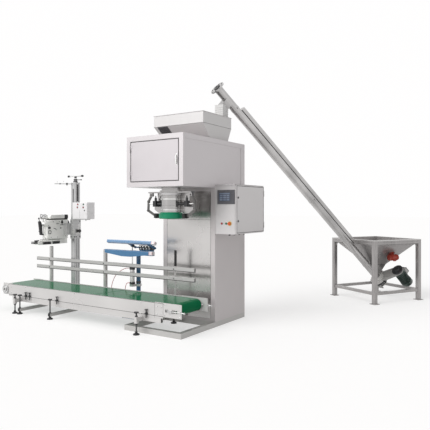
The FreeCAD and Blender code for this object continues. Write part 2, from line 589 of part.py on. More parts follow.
def cabinet():
    outer = box("cabinet_width", CABINET_DEPTH, CABINET_TALL, "base_width / 2", "cabinet_front", "cabinet_low")
    cavity = box("cabinet_width - 2 * sheet", CABINET_DEPTH + " - 2 * sheet", CABINET_TALL + " - 2 * sheet",
                 "base_width / 2 + sheet", "cabinet_front + sheet", "cabinet_low + sheet")
    doorway = box("10 * sheet", CABINET_DEPTH + " - 2 * cabinet_lip", CABINET_TALL + " - 2 * cabinet_lip",
                  CABINET_RIGHT + " - 5 * sheet", "cabinet_front + cabinet_lip", "cabinet_low + cabinet_lip")
    holes = [rod("button_stem + running_fit", "10 * sheet", x, "cabinet_front - 5 * sheet", "button_level", "y")
             for _, x, _ in BUTTONS]
    fixed = []
    moving = []
    bores = []
    hinge_x, hinge_y = CABINET_HINGE
    for level in ("cabinet_low + 4 * cabinet_lip", "cabinet_top - 4 * cabinet_lip"):
        low = level + " - knuckle_length - side_clearance"
        fixed.append(rod("knuckle_radius", "knuckle_length", hinge_x, hinge_y, low))
        fixed.append(box("cabinet_door_thickness", "sheet", "knuckle_length", CABINET_RIGHT +
                         " - cabinet_door_thickness / 2", "cabinet_back", low))
        bores.append(rod("pin_radius + running_fit", "2 * knuckle_length", hinge_x, hinge_y,
                         low + " - knuckle_length / 2"))
        moving.append(rod("knuckle_radius", "knuckle_length", hinge_x, hinge_y, level))
        moving.append(rod("pin_radius", "1.6 * knuckle_length", hinge_x, hinge_y,
                          level + " - 0.8 * knuckle_length"))
        moving.append(box("sheet", "4 * knuckle_radius", "knuckle_length",
                          hinge_x + " + knuckle_radius - sheet",
                          hinge_y + " - 4 * knuckle_radius", level))
    node("cabinet_shell", cut(fuse(cut(outer, cavity, doorway), *fixed), *(holes + bores)))

    leaf_y = "cabinet_front + 2 * sheet"
    leaf_depth = CABINET_DEPTH + " - 4 * sheet - knuckle_radius"
    leaf_z = "cabinet_low + 2 * sheet"
    leaf_tall = CABINET_TALL + " - 4 * sheet"
    pan = box("cabinet_door_thickness", leaf_depth, leaf_tall, CABINET_RIGHT + " + side_clearance", leaf_y,
              leaf_z)
    hollow = box("cabinet_door_thickness", leaf_depth + " - 2 * cabinet_lip", leaf_tall + " - 2 * cabinet_lip",
                 CABINET_RIGHT + " + side_clearance - sheet", leaf_y + " + cabinet_lip",
                 leaf_z + " + cabinet_lip")
    node("cabinet_door", fuse(cut(pan, hollow), *moving))

    plate_y = "cabinet_front + 3 * cabinet_lip"
    plate = box("sheet", CABINET_DEPTH + " - 6 * cabinet_lip", CABINET_TALL + " - 3 * cabinet_lip",
                "base_width / 2 + sheet", plate_y, "cabinet_low + 1.5 * cabinet_lip")
    modules = []
    for shelf in range(3):
        z = "cabinet_low + (3 + %d * 7) * cabinet_lip" % shelf
        for place_in_row, share in enumerate((0.5, 0.22, 0.14)):
            offset = (0.0, 0.54, 0.8)[place_in_row]
            modules.append(box("(%d + 2 * %d) * cabinet_lip" % (3, shelf % 2),
                               "(%s) * %s" % (CABINET_DEPTH, share * 0.7),
                               "3.4 * cabinet_lip", "base_width / 2 + 2 * sheet",
                               plate_y + " + cabinet_lip + (%s) * %s" % (CABINET_DEPTH, offset * 0.7), z))
    node("cabinet_gear", fuse(plate, *modules))

    bezel = box("screen_width", "screen_thickness", "screen_height", SCREEN_LEFT,
                "cabinet_front - screen_thickness", "screen_low")
    window = box("0.66 * screen_width", "screen_thickness", "0.62 * screen_height",
                 SCREEN_LEFT + " + 0.1 * screen_width", "cabinet_front - 1.8 * screen_thickness",
                 "screen_low + 0.2 * screen_height")
    node("screen_panel", cut(bezel, window))

    for label, x, radius in BUTTONS:
        top = "cabinet_front - 3 * button_travel"
        head = rod(radius, "2 * button_travel - side_clearance", x, top, "button_level", "y")
        stem = rod("button_stem", "6 * button_travel", x, top, "button_level", "y")
        if label == "stop_button":
            neck = rod("0.7 * stop_radius", "2 * button_travel - side_clearance", x, top, "button_level", "y")
            head = cone("0.8 * stop_radius", "stop_radius", "2 * button_travel", x,
                        top + " - 2 * button_travel",
                        "button_level", "y")
            node(label, fuse(head, neck, stem))
        else:
            node(label, fuse(head, stem))


# Belt conveyor in front of the column, under the spout
BELT_MIDDLE = "(belt_near + belt_far) / 2"
INSIDE_NEAR = "belt_near + plate_thickness"
INSIDE_FAR = "belt_far - plate_thickness"
FOOT_SPOTS = (("foot_left_x", "belt_near - foot_reach"), ("foot_right_x", "belt_near - foot_reach"),
              ("foot_left_x", "belt_far + foot_reach"), ("foot_right_x", "belt_far + foot_reach"))
SEW_FOOT_SPOTS = (("sew_x - sew_leg_pitch / 2", "sew_leg_near + foot_inset"),
                  ("sew_x + sew_leg_pitch / 2", "sew_leg_near + foot_inset"),
                  ("sew_x - sew_leg_pitch / 2", "sew_leg_far - foot_inset"),
                  ("sew_x + sew_leg_pitch / 2", "sew_leg_far - foot_inset"))


def conveyor_frame():
    length = "plate_right - plate_left"
    inside = "belt_far - belt_near - 2 * plate_thickness"
    solids = []
    bores = []
    for near in (True, False):
        plate_y = "belt_near" if near else INSIDE_FAR
        bracket_y = INSIDE_NEAR if near else INSIDE_FAR + " - bracket_thickness"
        rail_y = INSIDE_NEAR if near else INSIDE_FAR + " - rail_depth"
        solids.append(box(length, "plate_thickness", "plate_top - plate_low", "plate_left", plate_y,
                          "plate_low"))
        solids.append(box("tail_plate_right - tail_plate_left", "bracket_thickness",
                          "tail_plate_top - tail_plate_low",
                          "tail_plate_left", bracket_y, "tail_plate_low"))
        solids.append(box("head_plate_right - head_plate_left", "bracket_thickness",
                          "tail_plate_top - tail_plate_low",
                          "head_plate_left", bracket_y, "tail_plate_low"))
        rail = box("rail_end - rail_start", "rail_depth", "plate_low + rail_lap - rail_foot", "rail_start",
                   rail_y,
                   "rail_foot")
        hollow = box("rail_end - rail_start + 2 * sheet", "rail_depth - 2 * sheet",
                     "plate_low + rail_lap - rail_foot - 2 * sheet", "rail_start - sheet", rail_y + " + sheet",
                     "rail_foot + sheet")
        solids.append(cut(rail, hollow))
        guide_y = INSIDE_NEAR + " - take_up_depth" if near else INSIDE_FAR
        guide = box("guide_length", "take_up_depth", "slot_height", "tail_plate_right - guide_length", guide_y,
                    "drum_level - slot_height / 2")
        solids.append(guide)
        bores.append(rod("take_up_radius + 4 * running_fit", "4 * guide_length",
                         "tail_plate_right - 2.5 * guide_length", guide_y + " + take_up_depth / 2",
                         "drum_level",
                         "x"))
        bores.append(box("slot_right - slot_left", "3 * bracket_thickness", "slot_height", "slot_left",
                         bracket_y + " - bracket_thickness", "drum_level - slot_height / 2"))
        bores.append(rod("drum_shaft + running_fit", "4 * bracket_thickness", "head_drum_x",
                         bracket_y + " - 2 * bracket_thickness", "drum_level", "y"))
        bores.append(rod("roller_shaft + running_fit", "3 * rail_depth", "roller_x", rail_y + " - rail_depth",
                         "roller_level", "y"))
    tie_inside = "belt_far - belt_near - 2 * plate_thickness - 2 * rail_depth"
    for share in (0.05, 0.35, 0.65, 0.95):
        solids.append(box("cross_tube", tie_inside, "cross_tube",
                          "rail_start + (rail_end - rail_start - cross_tube)"
                          " * %s" % share, INSIDE_NEAR + " + rail_depth", "rail_foot"))
    solids.append(box("bed_end - bed_start", inside, "bed_thickness", "bed_start", INSIDE_NEAR,
                      "drum_level + drum_radius - bed_thickness"))
    stems = []
    for x, y in FOOT_SPOTS:
        near = "near" in y
        arm_y = y if near else INSIDE_FAR
        solids.append(box("foot_block", "foot_block", "foot_block_height", x + " - foot_block / 2",
                          y + " - foot_block / 2", "foot_block_low"))
        solids.append(box("foot_block", "foot_reach + plate_thickness" + (" + rail_depth" if near else ""),
                          "foot_arm_height", x + " - foot_block / 2", arm_y, "rail_foot"))
        stems.append(rod("foot_stem", "2 * foot_top", x, y, "0"))
    node("conveyor_frame", cut(fuse(*solids), *(bores + stems)))

    def loop(radius, width):
        y = BELT_MIDDLE + " - (%s) / 2" % width
        run = box("tail_drum_x - head_drum_x", width, "2 * (%s)" % radius, "head_drum_x", y,
                  "drum_level - (%s)" % radius)
        ends = [rod(radius, width, x, y, "drum_level", "y") for x in ("head_drum_x", "tail_drum_x")]
        return fuse(run, *ends)

    inner = "drum_radius + belt_clearance"
    node("conveyor_belt", cut(loop(inner + " + belt_thickness", "belt_width"), loop(inner,
                                                                                    "belt_width + 8 * sheet")))

    for label, x, shaft, reach in (("drive_drum", "head_drum_x", "drum_shaft", "head_shaft_length"),
                                   ("tail_drum", "tail_drum_x", "tail_shaft", "tail_shaft_length")):
        shell = rod("drum_radius", "drum_length", x, BELT_MIDDLE + " - drum_length / 2", "drum_level", "y")
        axle = rod(shaft, reach, x, BELT_MIDDLE + " - (%s) / 2" % reach, "drum_level", "y")
        node(label, fuse(shell, axle))
    shell = rod("roller_radius", "roller_length", "roller_x", BELT_MIDDLE + " - roller_length / 2",
                "roller_level", "y")
    axle = rod("roller_shaft", "belt_far - belt_near - 2 * plate_thickness", "roller_x", INSIDE_NEAR,
               "roller_level", "y")
    node("return_roller", fuse(shell, axle))


def drum_bearings():
    pieces = []
    for near in (True, False):
        flange_y = INSIDE_NEAR + " - bearing_thickness" if near else INSIDE_FAR
        boss_y = INSIDE_NEAR + " - 2 * bearing_thickness" if near else INSIDE_FAR
        cap = fuse(rod("bearing_radius", "bearing_thickness", "head_drum_x", flange_y, "drum_level", "y"),
                   rod("bearing_boss", "2 * bearing_thickness", "head_drum_x", boss_y, "drum_level", "y"))
        pieces.append(cut(cap, rod("drum_shaft + running_fit", "6 * bearing_thickness", "head_drum_x",
                                   flange_y + " - 3 * bearing_thickness", "drum_level", "y")))
        block_y = INSIDE_NEAR if near else INSIDE_FAR + " - bracket_thickness"
        block = box("1.8 * slot_height", "bracket_thickness", "slot_height", "tail_drum_x - 0.9 * slot_height",
                    block_y, "drum_level - slot_height / 2")
        lug_y = INSIDE_NEAR + " - take_up_depth" if near else INSIDE_FAR
        lug = box("1.8 * slot_height", "take_up_depth", "slot_height", "tail_drum_x - 0.9 * slot_height", lug_y,
                  "drum_level - slot_height / 2")
        screw_start = "tail_drum_x + 0.9 * slot_height"
        screw = rod("take_up_radius", "take_up_end - tail_drum_x - 0.9 * slot_height", screw_start,
                    lug_y + " + take_up_depth / 2", "drum_level", "x")
        bore = rod("tail_shaft + running_fit", "2 * bracket_thickness", "tail_drum_x",
                   block_y + " - bracket_thickness / 2", "drum_level", "y")
        pieces.append(cut(fuse(block, lug, screw), bore))
    node("drum_bearings", group(*pieces))


def levelling_feet():
    feet = []
    for x, y in FOOT_SPOTS + SEW_FOOT_SPOTS:
        pad = rod("foot_pad", "foot_pad_height / 2", x, y, "0")
        skirt = cone("foot_pad", "1.5 * foot_stem", "foot_pad_height / 2", x, y, "foot_pad_height / 2")
        stem = rod("foot_stem", "foot_top - foot_pad_height", x, y, "foot_pad_height")
        knob = rod("foot_knob", "foot_knob_height", x, y, "foot_top - foot_knob_height")
        feet.append(fuse(pad, skirt, stem, knob))
    node("levelling_feet", group(*feet))


def guide_rail():
    solids = []
    rail_y = "rail_back - rail_thickness"
    for level in ("upper_rail_z", "lower_rail_z"):
        solids.append(box("rail_right - rail_left", "rail_thickness", "rail_height", "rail_left", rail_y,
                          level))
    for x in ("post_left_x", "post_middle_x"):
        solids.append(box("post_side", "post_side", "post_top - post_foot", x, "rail_back", "post_foot"))
        solids.append(box("post_side", "rail_back - belt_far", "plate_top - post_foot - post_side", x,
                          "belt_far",
                          "post_foot"))
    stand_off = "rail_rod_y - belt_far"
    solids.append(rod("rail_rod_radius", "rail_rod_top - post_foot", "rail_rod_x", "rail_rod_y", "post_foot"))
    solids.append(box("post_side", stand_off, "2 * post_side", "rail_rod_x - post_side / 2", "belt_far",
                      "post_foot"))
    for level in ("upper_rail_z", "lower_rail_z"):
        solids.append(box("post_side", "rail_rod_y - rail_back", "rail_height / 2",
                          "rail_rod_x - post_side / 2",
                          "rail_back", level + " + rail_height / 4"))
    node("guide_rail", fuse(*solids))


# Sewing column behind the conveyor, with a head that a lead screw raises
CARRIAGE_TALL = "carriage_top - carriage_low"


def sewing_column():
    solids = []
    holes = []
    for x, y in SEW_FOOT_SPOTS:
        holes.append(rod("foot_stem", "2 * foot_top", x, y, "0"))
    for side in ("-", "+"):
        solids.append(box("sew_leg_side", "sew_leg_far - sew_leg_near", "sew_leg_side",
                          "sew_x %s sew_leg_pitch / 2 - sew_leg_side / 2" % side, "sew_leg_near",
                          "sew_leg_low"))
    solids.append(box("sew_leg_pitch - sew_leg_side", "sew_side", "sew_leg_side",
                      "sew_x - (sew_leg_pitch - sew_leg_side) / 2", "sew_y - sew_side / 2", "sew_leg_low"))
    node("sewing_base", cut(fuse(*solids), *holes))

    corner_x = "sew_x - sew_side / 2"
    corner_y = "sew_y - sew_side / 2"
    low = "sew_leg_low + sew_leg_side"
    outer = box("sew_side", "sew_side", "sew_top - " + low.replace("+", "-"), corner_x, corner_y, low)
    hollow = box("sew_side - 2 * sew_wall", "sew_side - 2 * sew_wall",
                 "sew_top - sew_wall - " + low.replace("+", "-"),
                 corner_x + " + sew_wall", corner_y + " + sew_wall", low)
    slot = box("sew_slot", "4 * sew_wall", "sew_top - sew_slot_top_margin - sew_slot_low",
               "sew_x - sew_slot / 2",
               corner_y + " - 2 * sew_wall", "sew_slot_low")
    hub = rod("2.4 * screw_radius", "hub_height", "sew_x", "sew_y", "sew_top")
    seat = box("sew_side - 2 * sew_wall", "sew_side - 2 * sew_wall", "3 * sew_wall", corner_x + " + sew_wall",
               corner_y + " + sew_wall", "screw_low")
    bore = rod("screw_radius + running_fit", "2 * sew_top", "sew_x", "sew_y", "screw_low - sew_wall")
    body = fuse(cut(outer, hollow, slot), hub, seat)
    start = vec(size("sew_x"), size("sew_y"), size("thread_z"))
    end = vec(size("thread_x"), size("thread_y"), size("thread_z"))
    reach = end.sub(start)
    bar = Part.makeCylinder(size("thread_radius"), reach.Length, start, reach)
    ring_centre = end.add(vec(0, 0, -size("hook_radius") - size("thread_radius")))
    hook = Part.makeTorus(size("hook_radius"), size("thread_radius") / 2, ring_centre, reach)
    drop = Part.makeCylinder(size("thread_radius") / 2, 3 * size("thread_radius"), end, vec(0, 0, -1))
    arm = bar.fuse([drop, hook])
    clear = Part.makeBox(size("sew_side") - 2 * size("sew_wall"), size("sew_side") - 2 * size("sew_wall"), 400,
                         vec(size("sew_x") - size("sew_side") / 2 + size("sew_wall"),
                             size("sew_y") - size("sew_side") / 2 + size("sew_wall"), size("thread_z") - 380))
    node("sewing_column", fuse(cut(body, bore), raw(arm.cut(clear))))

    screw = rod("screw_radius", "screw_handle_z - screw_low", "sew_x", "sew_y", "screw_low")
    grip = rod("0.8 * screw_radius", "handle_span", "sew_x - handle_span / 2", "sew_y", "screw_handle_z", "x")
    collar = rod("1.7 * screw_radius", "2.4 * screw_radius", "sew_x", "sew_y",
                 "sew_top + hub_height + side_clearance")
    knobs = [ball("1.5 * screw_radius", "sew_x %s handle_span / 2" % side, "sew_y", "screw_handle_z")
             for side in ("-", "+")]
    node("lead_screw", fuse(screw, grip, collar, *knobs))


def sewing_carriage():
    half = "sew_side / 2 + slide_clearance + carriage_wall"
    outer = box("2 * (%s)" % half, "2 * (%s)" % half, CARRIAGE_TALL, "sew_x - (%s)" % half,
                "sew_y - (%s)" % half, "carriage_low")
    gap = "sew_side / 2 + slide_clearance"
    hollow = box("2 * (%s)" % gap, "2 * (%s)" % gap, "3 * (%s)" % CARRIAGE_TALL, "sew_x - (%s)" % gap,
                 "sew_y - (%s)" % gap, "carriage_low - (%s)" % CARRIAGE_TALL)
    nut_z = "carriage_low + (%s) / 2" % CARRIAGE_TALL
    neck = box("sew_slot - 2 * side_clearance", "sew_side / 2 + slide_clearance - nut_radius / 2", "nut_height",
               "sew_x - sew_slot / 2 + side_clearance", "sew_y - sew_side / 2 - slide_clearance", nut_z)
    nut = rod("nut_radius", "nut_height", "sew_x", "sew_y", nut_z)
    bore = rod("screw_radius + running_fit", "4 * nut_height", "sew_x", "sew_y", nut_z + " - nut_height")
    shelf = box("box_left + 0.8 * box_width - sew_x - (%s)" % half, "0.7 * box_depth", "shelf_thickness",
                "sew_x + (%s)" % half, "box_front + 0.15 * box_depth", "box_low - shelf_thickness")
    gusset = box("carriage_wall", "0.7 * box_depth", "box_low - carriage_low - shelf_thickness - (%s) / 2"
                 % CARRIAGE_TALL, "sew_x + (%s)" % half, "box_front + 0.15 * box_depth",
                 "carriage_low + (%s) / 2" % CARRIAGE_TALL)
    arm_left = "head_x + head_width / 2"
    arm = box("sew_x - (%s) - head_x - head_width / 2" % half, "arm_depth", "0.6 * (%s)" % CARRIAGE_TALL,
              arm_left,
              "head_back - arm_depth", "carriage_low + 0.2 * (%s)" % CARRIAGE_TALL)
    node("sewing_carriage", cut(fuse(cut(outer, hollow), neck, nut, shelf, gusset, arm), bore))

    shell = box("box_width", "box_depth", "box_height", "box_left", "box_front", "box_low")
    inside = box("box_width - 2 * sheet", "box_depth - 2 * sheet", "box_height - 2 * sheet", "box_left + sheet",
                 "box_front + sheet", "box_low + sheet")
    stems = [rod("sew_button_stem + running_fit", "6 * sheet", x, "box_front - 3 * sheet", z, "y")
             for x, z in SEW_BUTTONS]
    node("sewing_box", cut(shell, inside, *stems))
    for number, (x, z) in enumerate(SEW_BUTTONS, start=1):
        top = "box_front - 3 * sew_travel"
        head = rod("sew_button_radius", "2 * sew_travel - side_clearance", x, top, z, "y")
        stem = rod("sew_button_stem", "7 * sew_travel", x, top, z, "y")
        node("sew_button_%d" % number, fuse(head, stem))


SEW_BUTTONS = (("sew_button_left", "sew_button_high"), ("sew_button_left - 8", "sew_button_mid"),
               ("sew_button_right", "sew_button_high"), ("sew_button_right - 4", "sew_button_mid"))


def sewing_head():
    left = "head_x - head_width / 2"
    body = box("head_width", "head_back - head_front", "head_top - head_low", left, "head_front", "head_low")
    inside = box("head_width - 2 * head_wall", "head_back - head_front - 2 * head_wall",
                 "head_top - head_low - 2 * head_wall", left + " + head_wall", "head_front + head_wall",
                 "head_low + head_wall")
    nose = box("0.4 * head_width", "head_front - needle_y + 3 * needle_radius", "0.3 * (head_top - head_low)",
               "head_x - 0.2 * head_width", "needle_y - 3 * needle_radius",
               "head_top - 0.3 * (head_top - head_low)")
    cover = box("0.84 * head_width", "head_back - head_front", "cover_height", "head_x - 0.42 * head_width",
                "head_front", "head_top")
    bar_hole = rod("needle_radius + running_fit", "head_top", "head_x", "needle_y", "needle_low")
    shaft_hole = rod("wheel_shaft + running_fit", "6 * head_wall", "head_x", "head_back - 3 * head_wall",
                     "wheel_z", "y")
    node("sewing_head", cut(fuse(cut(body, inside), nose, cover), bar_hole, shaft_hole))

    plate = box("bed_width", "head_back - bed_front", "head_low - bed_low - bed_gap", "head_x - bed_width / 2",
                "bed_front", "bed_low")
    riser = box("bed_width", "bed_riser", "bed_gap", "head_x - bed_width / 2", "head_back - bed_riser",
                "head_low - bed_gap")
    fingers = []
    for side in ("- 0.4", "+ 0.3"):
        fingers.append(box("0.1 * bed_width", "finger_length", "finger_height", "head_x %s * bed_width" % side,
                           "bed_front - finger_length", "head_low - bed_gap - finger_height"))
    slot = rod("1.4 * needle_radius", "3 * (head_low - bed_low)", "head_x", "needle_y",
               "bed_low - 10 * bed_gap")
    node("throat_plate", fuse(cut(plate, slot), riser, *fingers))

    bar = rod("needle_radius", "needle_top - needle_low - needle_length", "head_x", "needle_y",
              "needle_low + needle_length")
    needle = cone("0.12 * needle_radius", "0.35 * needle_radius", "needle_length", "head_x", "needle_y",
                  "needle_low")
    node("needle_bar", fuse(bar, needle))

    wheel = rod("wheel_radius", "wheel_width", "head_x", "head_back + side_clearance", "wheel_z", "y")
    dish = rod("0.72 * wheel_radius", "wheel_width", "head_x", "head_back + side_clearance + 0.6 * wheel_width",
               "wheel_z", "y")
    shaft = rod("wheel_shaft", "0.8 * wheel_width + 4 * head_wall", "head_x", "head_back - 4 * head_wall",
                "wheel_z", "y")
    node("handwheel", fuse(cut(wheel, dish), shaft))


# Bag sealer on its own post, with a lower jaw that stays and an upper jaw that swings down
def sealer():
    base = box("seal_base", "seal_base", "seal_base_thickness", "seal_x - seal_base / 2",
               "seal_y - seal_base / 2")
    post = rod("seal_post_radius", "arm_level", "seal_x", "seal_y")
    arm = box("bracket_right - bracket_left", "seal_y - jaw_y - jaw_width / 2 + seal_post_radius", "arm_height",
              "bracket_left", "jaw_y + jaw_width / 2", "arm_level")
    side_plate = box("block_right - bracket_left", "block_depth", "arm_height", "bracket_left",
                     "hinge_y - block_depth / 2", "arm_level")
    riser = box("block_right - block_left", "0.6 * block_depth",
                "hinge_z - block_height / 2 - arm_level - arm_height",
                "block_left", "hinge_y - 0.3 * block_depth", "arm_level + arm_height")
    node("sealer_stand", fuse(base, post, arm, side_plate, riser))

    block = box("block_right - block_left", "block_depth", "block_height", "block_left",
                "hinge_y - block_depth / 2", "hinge_z - block_height / 2")
    bore = rod("hinge_shaft + running_fit", "2 * (block_right - block_left)", "block_left - 50", "hinge_y",
               "hinge_z", "x")
    node("jaw_hinge", cut(block, bore))

    near = size("jaw_y") - size("jaw_width") / 2
    top = size("jaw_top")
    ends = top - size("jaw_end_height")
    belly = top - size("jaw_belly")
    left, right = size("jaw_left"), size("jaw_right")
    outline = [vec(left, near, top), vec(left, near, ends), vec(size("belly_left"), near, belly),
               vec(size("belly_right"), near, belly), vec(right, near, ends), vec(right, near, top)]
    bar = profile(outline, vec(0, size("jaw_width"), 0))
    cap = Part.makeBox(size("jaw_cap"), size("jaw_width"), size("jaw_end_height"), vec(right, near, ends))
    node("lower_jaw", raw(Part.makeCompound([bar, cap])))

    # the upper jaw is laid out shut and then swung open
    shut = top + size("jaw_gap")
    pivot = vec(0, size("hinge_y"), size("hinge_z"))
    shift = size("upper_jaw_shift")
    near = size("jaw_y") - size("upper_jaw_width") / 2
    bar = Part.makeBox(right - left, size("upper_jaw_width"), size("upper_jaw_height"),
                       vec(left + shift, near, shut))
    cap = Part.makeBox(size("jaw_cap"), size("upper_jaw_width"), size("upper_jaw_height"),
                       vec(right + shift, near, shut))
    levers = []
    half = size("lever_thickness") / 2
    low = size("hinge_z") - size("lever_height") / 2
    for x in (size("lever_left_x"), size("lever_right_x")):
        lever = Part.makeBox(2 * half, size("hinge_y") - near, size("lever_height"), vec(x - half, near, low))
        eye = Part.makeCylinder(size("lever_height") / 2, 2 * half, vec(x - half, pivot.y, pivot.z),
                                vec(1, 0, 0))
        web = Part.makeBox(2 * half, size("upper_jaw_width"), low + size("lever_height") - shut,
                           vec(x - half, near, shut))
        levers += [lever, eye, web]
    shaft = Part.makeCylinder(size("hinge_shaft"), size("lever_right_x") - size("lever_left_x") + 4 * half,
                              vec(size("lever_left_x") - 2 * half, pivot.y, pivot.z), vec(1, 0, 0))
    frame = bar.fuse(levers + [shaft]).removeSplitter()
    whole = Part.makeCompound([frame, cap])
    whole.rotate(pivot, vec(1, 0, 0), -size("jaw_open"))
    node("upper_jaw", raw(whole))


def jaw_cylinder():
    x = "lever_left_x"
    low_cap = box("2.1 * cyl_radius", "2.1 * cyl_radius", "cyl_cap", x + " - 1.05 * cyl_radius",
                  "cyl_y - 1.05 * cyl_radius", "cyl_low")
    barrel = rod("cyl_radius", "cyl_top - cyl_low - 2 * cyl_cap", x, "cyl_y", "cyl_low + cyl_cap")
    top_cap = box("2.1 * cyl_radius", "2.1 * cyl_radius", "cyl_cap", x + " - 1.05 * cyl_radius",
                  "cyl_y - 1.05 * cyl_radius", "cyl_top - cyl_cap")
    ports = [rod("port_radius", "port_length", x + " - 1.05 * cyl_radius - port_length", "cyl_y",
                 level, "x") for level in ("cyl_low + cyl_cap / 2", "cyl_top - cyl_cap / 2")]
    arm = box("seal_x - lever_left_x", "seal_y - cyl_y", "cyl_cap", x, "cyl_y", "cyl_low - cyl_cap")
    ring = rod("1.5 * seal_post_radius", "cyl_cap", "seal_x", "seal_y", "cyl_low - cyl_cap")
    foot = box("2.1 * cyl_radius", "2.1 * cyl_radius", "cyl_cap", x + " - 1.05 * cyl_radius",
               "cyl_y - 1.05 * cyl_radius", "cyl_low - cyl_cap")
    post = rod("seal_post_radius", "4 * cyl_cap", "seal_x", "seal_y", "cyl_low - 2 * cyl_cap")
    bore = rod("rod_radius + running_fit", "cyl_top - rod_floor + cyl_cap", x, "cyl_y", "rod_floor")
    body = cut(fuse(low_cap, barrel, top_cap, arm, ring, foot, *ports), post, bore)
    valve = box("valve_length", "valve_width", "valve_height", "valve_x", "seal_y - valve_width / 2",
                "seal_base_thickness")
    inlets = [rod("port_radius", "port_length", "valve_x - port_length", "seal_y %s valve_width / 4" % side,
                  "valve_port_z", "x") for side in ("-", "+")]
    node("jaw_cylinder", group(body, fuse(valve, *inlets)))
    stem = rod("rod_radius", "rod_top - rod_tip - rod_start", x, "cyl_y", "rod_start")
    tip = cone("rod_radius", "rod_radius - rod_tip", "rod_tip", x, "cyl_y", "rod_top - rod_tip")
    node("jaw_rod", fuse(stem, tip))


# Feeder stand and its hopper, turned a little over 59 degrees from the machine
HALF_STAND = "stand_side / 2"


def turn_with_stand(item):
    """Move a solid from the stand's own axes to its place in the room."""
    item.setExpression("Placement", cells("create(<<placement>>; create(<<vector>>; stand_x; stand_y; 0); "
                                          "create(<<rotation>>; create(<<vector>>; 0; 0; 1); stand_angle))"))
    return item


def feeder_stand():
    solids = []
    holes = []
    leg_tall = "stand_height - stand_foot_thickness"
    for x in ("-" + HALF_STAND, HALF_STAND + " - stand_leg"):
        for y in ("-" + HALF_STAND, HALF_STAND + " - stand_leg"):
            leg = box("stand_leg", "stand_leg", leg_tall, x, y, "stand_foot_thickness")
            inside = box("stand_leg - 2 * sheet", "stand_leg - 2 * sheet", leg_tall + " - sheet",
                         x + " + sheet",
                         y + " + sheet", "stand_foot_thickness")
            solids.append(cut(leg, inside))
            solids.append(box("stand_foot", "stand_foot", "stand_foot_thickness",
                              x + " + (stand_leg - stand_foot) / 2", y + " + (stand_leg - stand_foot) / 2"))
    spots = [(x, y) for x in (-1, 1) for y in (-1, 1)]
    for x, y in spots:
        holes.append(rod("anchor_radius", "4 * stand_foot_thickness",
                         "%d * (%s + anchor_reach)" % (x, HALF_STAND),
                         "%d * (%s + anchor_reach)" % (y, HALF_STAND),
                         "-stand_foot_thickness"))
    rim = box("stand_side", "stand_side", "rim_height", "-" + HALF_STAND, "-" + HALF_STAND,
              "stand_height - rim_height")
    mouth = box("stand_side - 2 * stand_leg", "stand_side - 2 * stand_leg", "3 * rim_height",
                "stand_leg - " + HALF_STAND, "stand_leg - " + HALF_STAND, "stand_height - 2 * rim_height")
    tray = box("stand_side - 2 * sheet", "stand_side - 2 * sheet", "rim_height - sheet",
               "sheet - " + HALF_STAND,
               "sheet - " + HALF_STAND, "stand_height - rim_height - sheet")
    wall = box("stand_side - 2 * stand_leg + 2 * sheet", "stand_side - 2 * stand_leg + 2 * sheet",
               "3 * rim_height",
               "stand_leg - sheet - " + HALF_STAND, "stand_leg - sheet - " + HALF_STAND,
               "stand_height - 2 * rim_height")
    solids.append(cut(rim, mouth, cut(tray, wall)))
    inside = "stand_side - 2 * stand_leg"
    for x, y, long_x in (("stand_leg - " + HALF_STAND, "(stand_leg - stand_rail) / 2 - " + HALF_STAND, True),
                         ("stand_leg - " + HALF_STAND, HALF_STAND + " - (stand_leg + stand_rail) / 2", True),
                         ("(stand_leg - stand_rail) / 2 - " + HALF_STAND, "stand_leg - " + HALF_STAND, False),
                         (HALF_STAND + " - (stand_leg + stand_rail) / 2", "stand_leg - " + HALF_STAND, False)):
        solids.append(box(inside if long_x else "stand_rail", "stand_rail" if long_x else inside, "stand_rail",
                          x, y,
                          "stand_rail_z"))
    node("feeder_stand", turn_with_stand(cut(fuse(*solids), *holes)))


def square(half, z, x=0.0, y=0.0):
    return rectangle(x - half, x + half, y - half, y + half, z)


def stand_axes():
    """The stand's own axes as a placement."""
    return FreeCAD.Placement(vec(size("stand_x"), size("stand_y"), 0),
                             FreeCAD.Rotation(vec(0, 0, 1), size("stand_angle")))


def in_stand(shape):
    """A shape drawn in the stand's axes, moved to the room."""
    moved = shape.copy()
    moved.Placement = stand_axes()
    return moved


def in_tube(shape):
    """A shape drawn along the screw tube (X up the tube), moved to the room."""
    turn = FreeCAD.Rotation(vec(0, 0, 1), size("tube_angle")) * FreeCAD.Rotation(vec(0, 1, 0),
                                                                                 -size("tube_tilt"))
    moved = shape.copy()
    moved.Placement = FreeCAD.Placement(vec(size("stand_x"), size("stand_y"), size("tube_level")), turn)
    return moved


def feeder_hopper():
    wall = size("funnel_wall")
    half = size("stand_side") / 2 - size("stand_leg")
    rim_low = size("stand_height") - size("rim_height")
    low = size("funnel_outlet_z")
    outlet = size("funnel_outlet") / 2
    outer = loft(square(outlet, low), square(half, rim_low)).fuse(loft(square(half, rim_low),
                                                                       square(half, size("stand_height"))))
    inner = loft(square(outlet - wall, low), square(half - wall, rim_low)).fuse(
        loft(square(half - wall, rim_low), square(half - wall, size("stand_height"))))
    lip = loft(square(size("stand_side") / 2, size("stand_height")),
               square(size("stand_side") / 2, size("stand_height") + wall))
    opening = loft(square(half - wall, size("stand_height") - 1), square(half - wall,
                                                                         size("stand_height") + 2 * wall))
    whole = outer.cut(inner).fuse(lip.cut(opening)).removeSplitter()
    node("feeder_hopper", raw(in_stand(whole)))


def tube_bar(radius, start, end, y=0.0, z=0.0):
    return Part.makeCylinder(radius, end - start, vec(start, y, z), vec(1, 0, 0))


